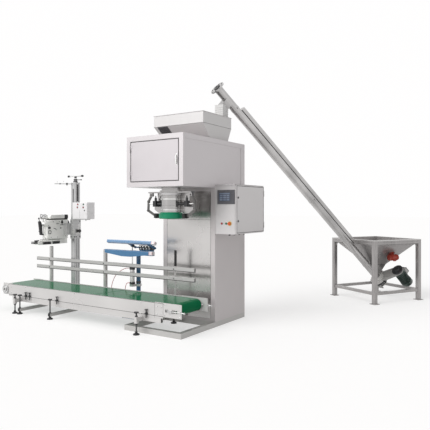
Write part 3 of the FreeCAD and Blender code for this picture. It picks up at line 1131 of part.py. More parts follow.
def screw_tube():
    outer = tube_bar(size("tube_radius"), size("tube_low"), size("tube_top"))
    bore = tube_bar(size("tube_radius") - size("tube_wall"), size("tube_low") - 10, size("tube_top") - 8)
    wall = size("funnel_wall")
    low = size("boot_low")
    outlet = size("funnel_outlet") / 2
    top = size("funnel_outlet_z")

    def boot(inset):
        slot = rectangle(-outlet + inset, size("boot_front") - inset, -size("tube_radius") + inset,
                         size("tube_radius") - inset, low)
        return in_stand(loft(slot, square(outlet - inset, top)))

    far = 6000
    floor = in_tube(Part.makeBox(far, far, far, vec(-far / 2, -far / 2, -far - wall)))
    middle = in_tube(Part.makeBox(far, far, far, vec(-far / 2, -far / 2, -far)))
    shell = boot(0).cut(floor)
    hollow = boot(wall).cut(middle)
    strip_low = size("tube_radius") - 2
    strip_bar = Part.makeBox(size("strip_top") - size("strip_low"), size("strip_width"),
                             size("strip_height") + 2, vec(size("strip_low"), -size("strip_width") / 2,
                                                           strip_low))
    flange = tube_bar(size("end_flange"), size("tube_top") - 12, size("tube_top"))
    collar = tube_bar(size("tube_radius") + 12, size("tube_low"), size("tube_low") + 10)
    stub_top = size("outlet_at")
    stub = size("outlet_square") / 2
    drop = Part.makeBox(2 * stub, 2 * stub, size("outlet_drop"), vec(stub_top - stub, -stub,
                                                                     -size("outlet_drop")))
    stub_hole = Part.makeBox(2 * (stub - wall), 2 * (stub - wall), size("outlet_drop") + 40,
                             vec(stub_top - stub + wall, -stub + wall, -size("outlet_drop") - 40))
    lug = in_stand(Part.makeBox(size("lug_length"), size("strip_width"), size("lug_height"),
                                vec(-size("stand_side") / 2 - size("lug_length"), size("lug_side"),
                                    size("stand_height") - size("lug_height") - 6)))
    steel = in_tube(outer).fuse([shell, in_tube(strip_bar), in_tube(flange), in_tube(collar), in_tube(drop),
                                 lug])
    journal = tube_bar(size("journal_radius") + size("running_fit"), size("tube_top") - 20,
                       size("tube_top") + 20)
    steel = steel.cut([in_tube(bore), hollow, in_tube(stub_hole), in_tube(journal)])
    # the duct hangs straight down from the stub into the machine's hopper
    exit_point = in_tube(Part.Vertex(vec(stub_top, 0, -size("outlet_drop")))).Point
    half = size("duct_square") / 2
    duct = loft(square(half, size("duct_low"), exit_point.x, exit_point.y),
                square(half, exit_point.z, exit_point.x, exit_point.y))
    duct_hole = loft(square(half - wall, size("duct_low") - 10, exit_point.x, exit_point.y),
                     square(half - wall, exit_point.z + 10, exit_point.x, exit_point.y))
    print("duct axis", round(exit_point.x, 1), round(exit_point.y, 1), round(exit_point.z, 1))
    stub_solid = in_tube(Part.makeBox(2 * stub - 2 * wall, 2 * stub - 2 * wall, size("outlet_drop"),
                                      vec(stub_top - stub + wall, -stub + wall, -size("outlet_drop"))))
    steel = steel.fuse(duct.cut(stub_solid)).cut(duct_hole)
    node("screw_tube", raw(steel.removeSplitter()))


def auger():
    """A shaft with eight flat sides and a helical flight whose inner edge follows those sides."""
    sides = 8
    shaft = size("screw_shaft_radius")
    rim = size("screw_flight_radius")
    start = size("tube_low") + size("screw_end_gap")
    end = size("tube_top") - size("screw_end_gap") - 12
    thickness = size("flight_thickness")
    step = size("screw_pitch") / sides
    count = int((end - start - 2 * thickness) / step)

    def ring_point(radius, index, offset):
        angle = 2 * math.pi * index / sides
        return vec(start + thickness + index * step + offset, radius * math.cos(angle),
                   radius * math.sin(angle))

    faces = []

    def face(*points):
        faces.append(Part.Face(Part.makePolygon(list(points) + [points[0]])))

    for index in range(count):
        inner = [ring_point(shaft, index + i, t) for i in (0, 1) for t in (0, thickness)]
        outer = [ring_point(rim, index + i, t) for i in (0, 1) for t in (0, thickness)]
        face(inner[0], inner[1], inner[3], inner[2])
        face(outer[0], outer[2], outer[3], outer[1])
        for low in (0, 1):
            face(inner[low], inner[low + 2], outer[low])
            face(inner[low + 2], outer[low + 2], outer[low])
    for index in (0, count):
        corners = [ring_point(r, index, t) for r, t in ((shaft, 0), (rim, 0), (rim, thickness),
                                                         (shaft, thickness))]
        face(*corners)
    flight = Part.Solid(Part.Shell(faces))
    if flight.Volume < 0:
        flight.reverse()
    corners = [vec(start, shaft * math.cos(2 * math.pi * i / sides), shaft * math.sin(2 * math.pi * i / sides))
               for i in range(sides)]
    core = profile(corners, vec(end - start, 0, 0))
    low = tube_bar(size("journal_radius"), size("drive_face") - size("drive_thickness") + 20, start)
    high = tube_bar(size("journal_radius"), end, size("tube_top"))
    core = core.fuse([low, high]).removeSplitter()
    node("auger", raw(in_tube(Part.makeCompound([core, flight]))))


def gearmotor():
    back = size("drive_face") - size("drive_thickness")
    y = size("motor_side")
    z = size("motor_up")
    lower = tube_bar(size("drive_radius"), back, size("drive_face"))
    upper = tube_bar(size("drive_top_radius"), back, size("drive_face"), y, z)
    reach = math.hypot(y, z)
    link = Part.makeBox(size("drive_thickness"), reach, 2 * size("drive_top_radius"),
                        vec(back, 0, -size("drive_top_radius")))
    link.rotate(vec(0, 0, 0), vec(1, 0, 0), math.degrees(math.atan2(z, y)))
    case = lower.fuse([upper, link]).removeSplitter()
    case = case.cut(tube_bar(size("journal_radius") + size("running_fit"), back + 15, size("drive_face") + 5))
    gears = tube_bar(size("gear_case_radius"), back - size("gear_case_length"), back)
    case = case.fuse(gears).removeSplitter()
    motor = tube_bar(size("motor_radius"), back - size("motor_length"), back, y, z)
    cowl = tube_bar(size("cowl_radius"), back - size("motor_length") - 8, back - size("motor_length") + 62, y,
                    z)
    motor = motor.cut(cowl)
    side = size("terminal_side")
    terminal = Part.makeBox(side, side, side * 0.6 + 12, vec(back - side - 60, y - side / 2,
                                                             z + size("motor_radius") - 12)).cut(motor)
    node("gearmotor", raw(in_tube(Part.makeCompound([case, motor, cowl, terminal]))))


def vibrator():
    """A vibrator motor on the sloping wall that faces the stand's right front side."""
    half = size("stand_side") / 2 - size("stand_leg")
    rim_low = size("stand_height") - size("rim_height")
    outlet = size("funnel_outlet") / 2
    low = size("funnel_outlet_z")
    slope = math.degrees(math.atan2(rim_low - low, half - outlet))
    length = size("vibrator_length")
    radius = size("vibrator_radius")
    plate = Part.makeBox(length * 0.6, radius * 2.2, 12, vec(-length * 0.3, -radius * 1.1, 0))
    foot = Part.makeBox(length * 0.4, radius * 1.4, radius, vec(-length * 0.2, -radius * 0.7, 12))
    body = Part.makeCylinder(radius, length, vec(-length / 2, 0, radius + 20), vec(1, 0, 0))
    ends = [Part.makeCylinder(radius * 0.86, 14, vec(x, 0, radius + 20), vec(1, 0, 0))
            for x in (-length / 2 - 14, length / 2)]
    motor = body.fuse([foot] + ends).removeSplitter()
    whole = Part.makeCompound([plate, motor])
    share = size("vibrator_share")
    seat = vec(size("vibrator_x"), -outlet - (half - outlet) * share, low + (rim_low - low) * share)
    tilt = FreeCAD.Rotation(vec(1, 0, 0), 180 - slope)
    whole.Placement = stand_axes().multiply(FreeCAD.Placement(seat, tilt))
    node("vibrator", raw(whole))


# Air hoses of the sealer: straight runs joined by tangent arcs
def hose(label, points):
    radius = size("hose_radius")
    edges = []
    radii = []
    last = points[0]
    for index in range(1, len(points) - 1):
        before, corner, after = points[index - 1], points[index], points[index + 1]
        into = before.sub(corner)
        out = after.sub(corner)
        shorter = min(into.Length, out.Length)
        into.normalize()
        out.normalize()
        turn = math.pi - into.getAngle(out)
        setback = 0.45 * shorter
        bend = setback / math.tan(turn / 2)
        radii.append(round(bend, 1))
        first = corner.add(into * setback)
        second = corner.add(out * setback)
        middle_way = into.add(out).normalize()
        centre = corner.add(middle_way * (bend / math.cos(turn / 2)))
        middle = centre.add(corner.sub(centre).normalize() * bend)
        edges.append(Part.LineSegment(last, first).toShape())
        edges.append(Part.Arc(first, middle, second).toShape())
        last = second
    edges.append(Part.LineSegment(last, points[-1]).toShape())
    path = Part.Wire(edges)
    start = points[0]
    circle = Part.Wire(Part.makeCircle(radius, start, points[1].sub(start)))
    tube = path.makePipeShell([circle], True, False)
    print(label, "bend radii", radii, "length", round(path.Length), "volume share",
          round(tube.Volume / (math.pi * radius ** 2 * path.Length), 4))
    node(label, raw(tube))


def air_hoses():
    port_x = size("lever_left_x") - 1.05 * size("cyl_radius") - size("port_length")
    valve_x = size("valve_x") - size("port_length")
    depth = size("cyl_y")
    seal_y = size("seal_y")
    near = seal_y - size("valve_width") / 4
    far = seal_y + size("valve_width") / 4
    level = size("valve_port_z")
    upper = size("cyl_top") - size("cyl_cap") / 2
    lower = size("cyl_low") + size("cyl_cap") / 2
    hose("air_hose_1", [
        vec(port_x, depth, upper), vec(port_x - 70, depth, upper), vec(-1005, -135, 644),
        vec(-1092, -112, 608), vec(-1172, -97, 557), vec(-1226, -90, 493), vec(-1262, -86, 420),
        vec(-1280, -82, 345), vec(-1278, -79, 265), vec(-1252, -77, 190), vec(-1200, -75, 130),
        vec(-1128, -74, 86), vec(-1062, near, 57), vec(valve_x - 50, near, level), vec(valve_x, near, level)])
    hose("air_hose_2", [
        vec(port_x, depth, lower), vec(port_x - 50, depth, lower), vec(-966, -118, 438),
        vec(-1002, -96, 382), vec(-1026, -76, 315), vec(-1038, -60, 240), vec(-1042, -49, 172),
        vec(-1040, far, 108), vec(-1020, far, 72), vec(valve_x - 40, far, level), vec(valve_x, far, level)])


# Build every sub-part, then check and export them
for build in (base_frame, column, housing, hopper, spout, cut_off_gate, load_cells, clamp, cabinet,
              conveyor_frame,
              drum_bearings, levelling_feet, guide_rail, sewing_column, sewing_carriage, sewing_head, sealer,
              jaw_cylinder, air_hoses, feeder_stand, feeder_hopper, screw_tube, auger, gearmotor, vibrator):
    build()
doc.recompute()

os.makedirs("parts", exist_ok=True)
faults = []
for item in doc.Objects:
    if "Invalid" in item.State or "Error" in item.State:
        faults.append("%s is %s" % (item.Label, item.State))
for item in NODES:
    if item.Shape.isNull() or not item.Shape.isValid():
        faults.append("%s has no valid shape" % item.Label)
if faults:
    raise RuntimeError("; ".join(faults))
for item in NODES:
    item.Shape.exportStep("parts/%s.step" % item.Label)
print(len(NODES), "sub-parts")
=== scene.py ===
import math

import bmesh
import bpy
from mathutils import Matrix, Vector


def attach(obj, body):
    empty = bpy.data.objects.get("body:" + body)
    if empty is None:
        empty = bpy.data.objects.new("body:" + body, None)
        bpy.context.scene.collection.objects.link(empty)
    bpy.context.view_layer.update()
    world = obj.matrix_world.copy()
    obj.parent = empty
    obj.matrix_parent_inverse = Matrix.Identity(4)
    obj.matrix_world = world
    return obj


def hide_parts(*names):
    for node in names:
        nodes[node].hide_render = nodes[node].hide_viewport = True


# Bag filling machine with belt conveyor, sewing column, bag sealer and screw feeder.
# Metres, +Z up, +X along the conveyor towards its tail, +Y to the back of the machine.

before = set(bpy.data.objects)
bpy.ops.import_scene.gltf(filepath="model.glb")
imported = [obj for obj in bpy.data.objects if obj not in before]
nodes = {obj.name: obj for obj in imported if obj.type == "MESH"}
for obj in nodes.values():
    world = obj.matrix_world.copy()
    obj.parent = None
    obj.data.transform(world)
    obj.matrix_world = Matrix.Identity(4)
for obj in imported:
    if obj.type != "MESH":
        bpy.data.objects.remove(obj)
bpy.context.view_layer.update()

# Camera at the photograph's viewing angle
IMAGE_SIDE = 430.0
FOCAL_LENGTH_IN_PIXELS = 514.14
HORIZON_ROW = 207.37
CAMERA_PLACE = (3.921, -5.408, 1.500)
CAMERA_YAW = 32.92

camera_data = bpy.data.cameras.new("camera")
camera_data.sensor_width = 36.0
camera_data.lens = camera_data.sensor_width * FOCAL_LENGTH_IN_PIXELS / IMAGE_SIDE
camera_data.shift_y = (HORIZON_ROW - IMAGE_SIDE / 2) / IMAGE_SIDE
camera_data.clip_end = 200.0
camera = bpy.data.objects.new("camera", camera_data)
camera.location = CAMERA_PLACE
camera.rotation_euler = (math.radians(90), 0, math.radians(CAMERA_YAW))
bpy.context.scene.collection.objects.link(camera)
bpy.context.scene.camera = camera
bpy.context.scene.view_settings.view_transform = "Standard"


# Materials
class Finish:
    """A procedural material round one Principled shader."""

    def __init__(self, name, colour, metallic=0.0, roughness=0.5, specular=0.5, coat=0.0,
                 coat_roughness=0.1):
        self.material = bpy.data.materials.new(name)
        self.material.use_nodes = True
        self.material.diffuse_color = (*colour, 1)
        self.tree = self.material.node_tree
        self.shader = self.tree.nodes["Principled BSDF"]
        self.colour = colour
        self.set("Base Color", (*colour, 1))
        self.set("Metallic", metallic)
        self.set("Roughness", roughness)
        self.set("Specular IOR Level", specular)
        self.set("Coat Weight", coat)
        self.set("Coat Roughness", coat_roughness)
        self.bump_input = None

    def set(self, socket, value):
        self.shader.inputs[socket].default_value = value

    def node(self, kind, **inputs):
        made = self.tree.nodes.new(kind)
        for key, value in inputs.items():
            made.inputs[key.replace("_", " ")].default_value = value
        return made

    def link(self, start, end):
        self.tree.links.new(start, end)

    def place(self, scale, turn=None):
        """Texture coordinates fixed to the object, stretched by scale along axes that may be turned."""
        coordinates = self.tree.nodes.new("ShaderNodeTexCoord")
        mapping = self.tree.nodes.new("ShaderNodeMapping")
        if turn is None:
            mapping.inputs["Scale"].default_value = scale
        else:
            mapping.vector_type = "TEXTURE"
            mapping.inputs["Rotation"].default_value = turn
            mapping.inputs["Scale"].default_value = [1 / s for s in scale]
        self.link(coordinates.outputs["Object"], mapping.inputs["Vector"])
        return mapping.outputs["Vector"]

    def noise(self, scale, detail=3.0, stretch=(1, 1, 1), roughness=0.5, turn=None):
        """Noise values from 0 to 1."""
        made = self.node("ShaderNodeTexNoise", Scale=scale, Detail=detail, Roughness=roughness)
        self.link(self.place(stretch, turn), made.inputs["Vector"])
        return made.outputs["Fac"]

    def spread(self, value, low, high, start=0.3, end=0.7):
        """A value remapped to a range."""
        made = self.tree.nodes.new("ShaderNodeMapRange")
        made.inputs["From Min"].default_value = start
        made.inputs["From Max"].default_value = end
        made.inputs["To Min"].default_value = low
        made.inputs["To Max"].default_value = high
        self.link(value, made.inputs["Value"])
        return made.outputs["Result"]

    def shade(self, value, dark, light, start=0.3, end=0.7):
        """The colour goes from dark to light with a value."""
        ramp = self.tree.nodes.new("ShaderNodeValToRGB")
        ramp.color_ramp.elements[0].position = start
        ramp.color_ramp.elements[0].color = (*dark, 1)
        ramp.color_ramp.elements[1].position = end
        ramp.color_ramp.elements[1].color = (*light, 1)
        self.link(value, ramp.inputs["Fac"])
        self.link(ramp.outputs["Color"], self.shader.inputs["Base Color"])

    def rough(self, value, low, high):
        self.link(self.spread(value, low, high), self.shader.inputs["Roughness"])

    def bump(self, value, strength, distance):
        """Bumps add up when this is called more than once."""
        made = self.node("ShaderNodeBump", Strength=strength, Distance=distance)
        self.link(value, made.inputs["Height"])
        if self.bump_input is not None:
            self.link(self.bump_input, made.inputs["Normal"])
        self.bump_input = made.outputs["Normal"]
        self.link(self.bump_input, self.shader.inputs["Normal"])

    def worn_edges(self, value, light):
        """Edges a little lighter, where the surface is rubbed."""
        geometry = self.tree.nodes.new("ShaderNodeNewGeometry")
        mix = self.tree.nodes.new("ShaderNodeMix")
        mix.data_type = "RGBA"
        factor = self.spread(geometry.outputs["Pointiness"], 0.0, value, 0.52, 0.62)
        self.link(factor, mix.inputs["Factor"])
        old = self.shader.inputs["Base Color"]
        if old.is_linked:
            self.link(old.links[0].from_socket, mix.inputs["A"])
        else:
            mix.inputs["A"].default_value = old.default_value
        mix.inputs["B"].default_value = (*light, 1)
        self.link(mix.outputs["Result"], old)


def scaled(colour, share):
    return tuple(min(c * share, 1.0) for c in colour)


def steel(name, colour, roughness, grain=(1.0, 1.0, 60.0), metallic=0.9, variation=0.07, wave=0.0,
          turn=None):
    """Stainless sheet with a grain across one axis (fine on most sheets), faint clouds of handling marks and
    a slight wave; with a large variation the grain becomes painted reflection streaks, as on the screw tube.
    """
    made = Finish(name, colour, metallic, roughness)
    lines = made.noise(14.0, 4.0, grain, 0.65, turn)
    clouds = made.noise(2.3, 3.0)
    both = made.tree.nodes.new("ShaderNodeMath")
    both.operation = "MULTIPLY_ADD"
    both.inputs[1].default_value = 0.55
    made.link(lines, both.inputs[0])
    made.link(made.spread(clouds, 0.12, 0.36), both.inputs[2])
    made.shade(both.outputs[0], scaled(colour, 1 - variation), scaled(colour, 1 + variation))
    made.rough(clouds, roughness * 0.8, roughness * 1.25)
    made.bump(lines, 0.06, 0.0006)
    if wave:
        made.bump(made.noise(1.6, 1.0), wave, 0.02)
    return made


def paint(name, colour, roughness=0.4, coat=0.2, variation=0.08, peel=0.08, metallic=0.0):
    """Painted metal with an even orange peel, faint dirt and rubbed edges."""
    made = Finish(name, colour, metallic, roughness, 0.5, coat)
    clouds = made.noise(5.0, 5.0)
    made.shade(clouds, scaled(colour, 1 - variation), scaled(colour, 1 + variation * 0.5))
    made.worn_edges(0.35, scaled(colour, 1.6))
    made.rough(clouds, roughness * 0.85, roughness * 1.2)
    made.bump(made.noise(160.0, 2.0), peel, 0.0005)
    return made


def rubber(name, colour, roughness=0.6, variation=0.12, specular=0.35, grip=0.15):
    made = Finish(name, colour, 0.0, roughness, specular)
    clouds = made.noise(7.0, 5.0)
    made.shade(clouds, scaled(colour, 1 - variation), scaled(colour, 1 + variation))
    made.rough(clouds, roughness * 0.8, roughness * 1.15)
    made.bump(made.noise(220.0, 2.0), grip, 0.0004)
    return made


# Direction of the screw tube, along which its painted reflection streaks run
TUBE_TURN = (0.0, math.radians(-40.32), math.radians(246.85))

FINISHES = {
    "frame_steel": steel("frame_steel", (0.54, 0.53, 0.515), 0.36, (1.0, 1.0, 40.0), 0.35),
    "column_side": steel("column_side", (0.60, 0.565, 0.565), 0.38, (40.0, 40.0, 1.0), 0.3, 0.04),
    "mirror_panel": steel("mirror_panel", (0.56, 0.545, 0.537), 0.25, (30.0, 30.0, 1.0), 1.0, 0.05, 0.05),
    "housing_sheet": steel("housing_sheet", (0.68, 0.645, 0.655), 0.38, (1.0, 1.0, 50.0), 0.25, 0.03),
    "door_sheet": steel("door_sheet", (0.625, 0.59, 0.605), 0.4, (1.0, 1.0, 50.0), 0.25, 0.03),
    "cabinet_sheet": steel("cabinet_sheet", (0.62, 0.60, 0.60), 0.38, (50.0, 50.0, 1.0), 0.45, 0.03),
    "hopper_sheet": steel("hopper_sheet", (0.66, 0.645, 0.64), 0.34, (1.0, 40.0, 1.0), 0.2, 0.04),
    "spout_steel": steel("spout_steel", (0.43, 0.42, 0.415), 0.2, (1.0, 1.0, 30.0), 0.95, 0.08),
    "bright_steel": steel("bright_steel", (0.66, 0.66, 0.65), 0.22, (30.0, 30.0, 1.0), 1.0, 0.06),
    "arm_steel": steel("arm_steel", (0.125, 0.121, 0.118), 0.34, (20.0, 20.0, 1.0), 0.8, 0.12),
    "plate_steel": steel("plate_steel", (0.64, 0.625, 0.615), 0.34, (1.0, 40.0, 60.0), 0.35, 0.04),
    "rail_steel": steel("rail_steel", (0.50, 0.49, 0.48), 0.32, (1.0, 40.0, 60.0), 0.4, 0.05),
    # The screw tube's strong lengthwise grain is painted reflection: bright and dark streaks along the tube.
    "tube_steel": steel("tube_steel", (0.50, 0.49, 0.485), 0.24, (0.02, 1.3, 1.3), 0.8, 0.38, 0.04,
                        TUBE_TURN),
    "stand_steel": steel("stand_steel", (0.38, 0.365, 0.36), 0.34, (3.0, 3.0, 0.4), 0.6, 0.2),
    "column_alu": steel("column_alu", (0.56, 0.56, 0.56), 0.3, (60.0, 60.0, 1.0), 0.6, 0.05),
    "carriage_alu": steel("carriage_alu", (0.55, 0.55, 0.55), 0.34, (20.0, 20.0, 1.0), 0.7, 0.05),
    "drum_steel": steel("drum_steel", (0.55, 0.55, 0.55), 0.25, (1.0, 50.0, 1.0), 1.0, 0.06),
    "belt_green": rubber("belt_green", (0.004, 0.16, 0.062), 0.14, 0.06, 0.02, 0.02),
    "ring_green": rubber("ring_green", (0.004, 0.24, 0.115), 0.42),
    "black_rubber": rubber("black_rubber", (0.018, 0.018, 0.018), 0.62),
    "black_metal": paint("black_metal", (0.022, 0.022, 0.024), 0.38, 0.1, 0.15),
    # Near black for real gaps and seams, and also for painted shade in folds, slots and under edges.
    "dark_gap_and_shade": rubber("dark_gap_and_shade", (0.03, 0.028, 0.028), 0.7),
    "white_paint": paint("white_paint", (0.77, 0.755, 0.76), 0.45, 0.15, 0.03, 0.06, 0.4),
    "cream_paint": paint("cream_paint", (0.94, 0.94, 0.91), 0.45, 0.25, 0.05, 0.06, 0.65),
    "sealer_blue": paint("sealer_blue", (0.042, 0.150, 0.295), 0.36, 0.25, 0.10),
    "cap_pink": paint("cap_pink", (0.80, 0.52, 0.54), 0.45, 0.1, 0.05),
    "hose_red": rubber("hose_red", (0.50, 0.012, 0.018), 0.35, 0.06, 0.2),
    "button_red": paint("button_red", (0.30, 0.006, 0.010), 0.28, 0.3, 0.04),
    "button_orange": paint("button_orange", (0.75, 0.09, 0.02), 0.3, 0.3, 0.04),
    "button_green": paint("button_green", (0.008, 0.12, 0.05), 0.28, 0.3, 0.04),
    "motor_green": paint("motor_green", (0.010, 0.034, 0.024), 0.35, 0.2, 0.12),
    "vibrator_red": paint("vibrator_red", (0.36, 0.03, 0.012), 0.4, 0.1, 0.10),
    "gear_white": paint("gear_white", (0.70, 0.70, 0.68), 0.5, 0.0, 0.05),
    "gear_dark": paint("gear_dark", (0.10, 0.10, 0.11), 0.5, 0.0, 0.08),
    "drive_grey": paint("drive_grey", (0.38, 0.375, 0.36), 0.42, 0.1, 0.12),
    "screen_glass": paint("screen_glass", (0.07, 0.085, 0.12), 0.16, 0.4, 0.05, 0.0),
    # A paler blue for the sealer jaws' top edges, as a painted highlight.
    "sealer_blue_highlight": paint("sealer_blue_highlight", (0.13, 0.28, 0.50), 0.3, 0.3, 0.06),
    "stop_yellow": paint("stop_yellow", (0.72, 0.50, 0.10), 0.4, 0.1, 0.05),
    "dark_steel": steel("dark_steel", (0.10, 0.10, 0.10), 0.36, (20.0, 20.0, 1.0), 0.8, 0.1),
    # A lighter steel for the stand rim's top edge, as a painted highlight.
    "rim_highlight_steel": steel("rim_highlight_steel", (0.60, 0.59, 0.58), 0.3, (8.0, 8.0, 8.0), 0.7, 0.06),
    "drive_pale": paint("drive_pale", (0.58, 0.57, 0.55), 0.42, 0.1, 0.12),
    "sleeve_white": rubber("sleeve_white", (0.78, 0.77, 0.76), 0.7, 0.04),
    "belt_joint": rubber("belt_joint", (0.004, 0.12, 0.046), 0.3, 0.06, 0.02, 0.05),
    "brass": steel("brass", (0.55, 0.40, 0.16), 0.3, (20.0, 20.0, 1.0), 0.9, 0.08),
    "screen_field": paint("screen_field", (0.16, 0.20, 0.28), 0.2, 0.3, 0.05, 0.0),
}

CAD_FINISH = {
    "base_frame": "frame_steel", "column_shell": "column_side", "column_panels": "mirror_panel",
    "housing_shell": "housing_sheet", "housing_door": "door_sheet", "door_latch": "bright_steel",
    "hopper": "hopper_sheet", "feed_chute": "hopper_sheet",
    "spout": "spout_steel", "spout_ring": "ring_green",
    "cutoff_gate": "bright_steel", "gate_actuator": "black_metal", "load_cells": "bright_steel",
    "clamp_arm_left": "arm_steel", "clamp_arm_right": "arm_steel", "clamp_cylinders": "black_metal",
    "clamp_rod_left": "bright_steel", "clamp_rod_right": "bright_steel", "cabinet_shell": "cabinet_sheet",
    "cabinet_door": "cabinet_sheet", "cabinet_gear": "gear_white", "screen_panel": "gear_dark",
    "button_red": "button_red", "button_green": "button_green", "stop_button": "button_orange",
    "conveyor_frame": "plate_steel", "conveyor_belt": "belt_green", "drive_drum": "drum_steel",
    "tail_drum": "drum_steel", "return_roller": "drum_steel", "drum_bearings": "drum_steel",
    "levelling_feet": "black_metal", "guide_rail": "rail_steel", "sewing_base": "rail_steel",
    "sewing_column": "column_alu", "lead_screw": "bright_steel", "sewing_carriage": "carriage_alu",
    "sewing_box": "white_paint", "sew_button_1": "button_red", "sew_button_2": "button_red",
    "sew_button_3": "button_green", "sew_button_4": "button_red", "sewing_head": "cream_paint",
    "throat_plate": "black_metal", "needle_bar": "bright_steel", "handwheel": "black_metal",
    "sealer_stand": "sealer_blue", "jaw_hinge": "black_metal", "lower_jaw": "sealer_blue",
    "upper_jaw": "sealer_blue", "jaw_cylinder": "bright_steel", "jaw_rod": "bright_steel",
    "air_hose_1": "hose_red", "air_hose_2": "hose_red", "feeder_stand": "stand_steel",
    "feeder_hopper": "stand_steel", "screw_tube": "tube_steel", "auger": "tube_steel",
    "gearmotor": "drive_grey", "vibrator": "vibrator_red",
}


def dress(obj, finish):
    """Give an object one material."""
    obj.data.materials.clear()
    obj.data.materials.append(FINISHES[finish].material)


for name, finish in CAD_FINISH.items():
    dress(nodes[name], finish)

# Stage
FLOOR_SIDE = 160.0


def stage_material(name):
    """Pale floor that the camera sees as a light backdrop with the object's shadow on it."""
    material = bpy.data.materials.new(name)
    material.use_nodes = True
    tree = material.node_tree
    tree.nodes.clear()
    output = tree.nodes.new("ShaderNodeOutputMaterial")
    rays = tree.nodes.new("ShaderNodeLightPath")
    plain = tree.nodes.new("ShaderNodeBsdfDiffuse")
    plain.inputs["Color"].default_value = (0.72, 0.72, 0.72, 1)
    shaded = tree.nodes.new("ShaderNodeBsdfDiffuse")
    shaded.inputs["Color"].default_value = (0.55, 0.545, 0.54, 1)
    glow = tree.nodes.new("ShaderNodeEmission")
    glow.inputs["Color"].default_value = (1.0, 0.995, 0.995, 1)
    glow.inputs["Strength"].default_value = 0.53
    seen = tree.nodes.new("ShaderNodeAddShader")
    tree.links.new(shaded.outputs["BSDF"], seen.inputs[0])
    tree.links.new(glow.outputs["Emission"], seen.inputs[1])
    either = tree.nodes.new("ShaderNodeMath")
    either.operation = "MAXIMUM"
    tree.links.new(rays.outputs["Is Camera Ray"], either.inputs[0])
    tree.links.new(rays.outputs["Is Glossy Ray"], either.inputs[1])
    every = tree.nodes.new("ShaderNodeMath")
    every.operation = "MAXIMUM"
    tree.links.new(either.outputs[0], every.inputs[0])
    tree.links.new(rays.outputs["Is Transmission Ray"], every.inputs[1])
    mix = tree.nodes.new("ShaderNodeMixShader")
    tree.links.new(every.outputs[0], mix.inputs["Fac"])
    tree.links.new(plain.outputs["BSDF"], mix.inputs[1])
    tree.links.new(seen.outputs["Shader"], mix.inputs[2])
    tree.links.new(mix.outputs["Shader"], output.inputs["Surface"])
    return material


floor_mesh = bpy.data.meshes.new("floor")
half = FLOOR_SIDE / 2
floor_mesh.from_pydata([(-half, -half, 0), (half, -half, 0), (half, half, 0), (-half, half, 0)], [],
                       [(0, 1, 2, 3)])
floor_mesh.materials.append(stage_material("floor"))
floor = bpy.data.objects.new("floor", floor_mesh)
bpy.context.scene.collection.objects.link(floor)

# Light
world = bpy.data.worlds.new("world")
world.use_nodes = True
bpy.context.scene.world = world
world_tree = world.node_tree
background = world_tree.nodes["Background"]
background.inputs["Color"].default_value = (1.0, 1.0, 1.0, 1)
background.inputs["Strength"].default_value = 0.5
backdrop = world_tree.nodes.new("ShaderNodeBackground")
backdrop.inputs["Color"].default_value = (1.0, 0.995, 0.995, 1)
backdrop.inputs["Strength"].default_value = 1.0
world_rays = world_tree.nodes.new("ShaderNodeLightPath")
world_either = world_tree.nodes.new("ShaderNodeMath")
world_either.operation = "MAXIMUM"
world_all = world_tree.nodes.new("ShaderNodeMath")
world_all.operation = "MAXIMUM"
world_mix = world_tree.nodes.new("ShaderNodeMixShader")
world_tree.links.new(world_rays.outputs["Is Camera Ray"], world_either.inputs[0])
world_tree.links.new(world_rays.outputs["Is Glossy Ray"], world_either.inputs[1])
world_tree.links.new(world_either.outputs[0], world_all.inputs[0])
world_tree.links.new(world_rays.outputs["Is Transmission Ray"], world_all.inputs[1])
world_tree.links.new(world_all.outputs[0], world_mix.inputs["Fac"])
world_tree.links.new(background.outputs["Background"], world_mix.inputs[1])
world_tree.links.new(backdrop.outputs["Background"], world_mix.inputs[2])
world_tree.links.new(world_mix.outputs["Shader"], world_tree.nodes["World Output"].inputs["Surface"])


def sun(name, towards, strength, spread):
    """A wide soft sun; towards points from the object to it."""
    data = bpy.data.lights.new(name, "SUN")
    data.energy = strength
    data.angle = math.radians(spread)
    made = bpy.data.objects.new(name, data)
    made.rotation_euler = Vector(towards).to_track_quat("Z", "Y").to_euler()
    bpy.context.scene.collection.objects.link(made)


sun("key_light", (-0.35, -0.75, 0.56), 1.9, 50)


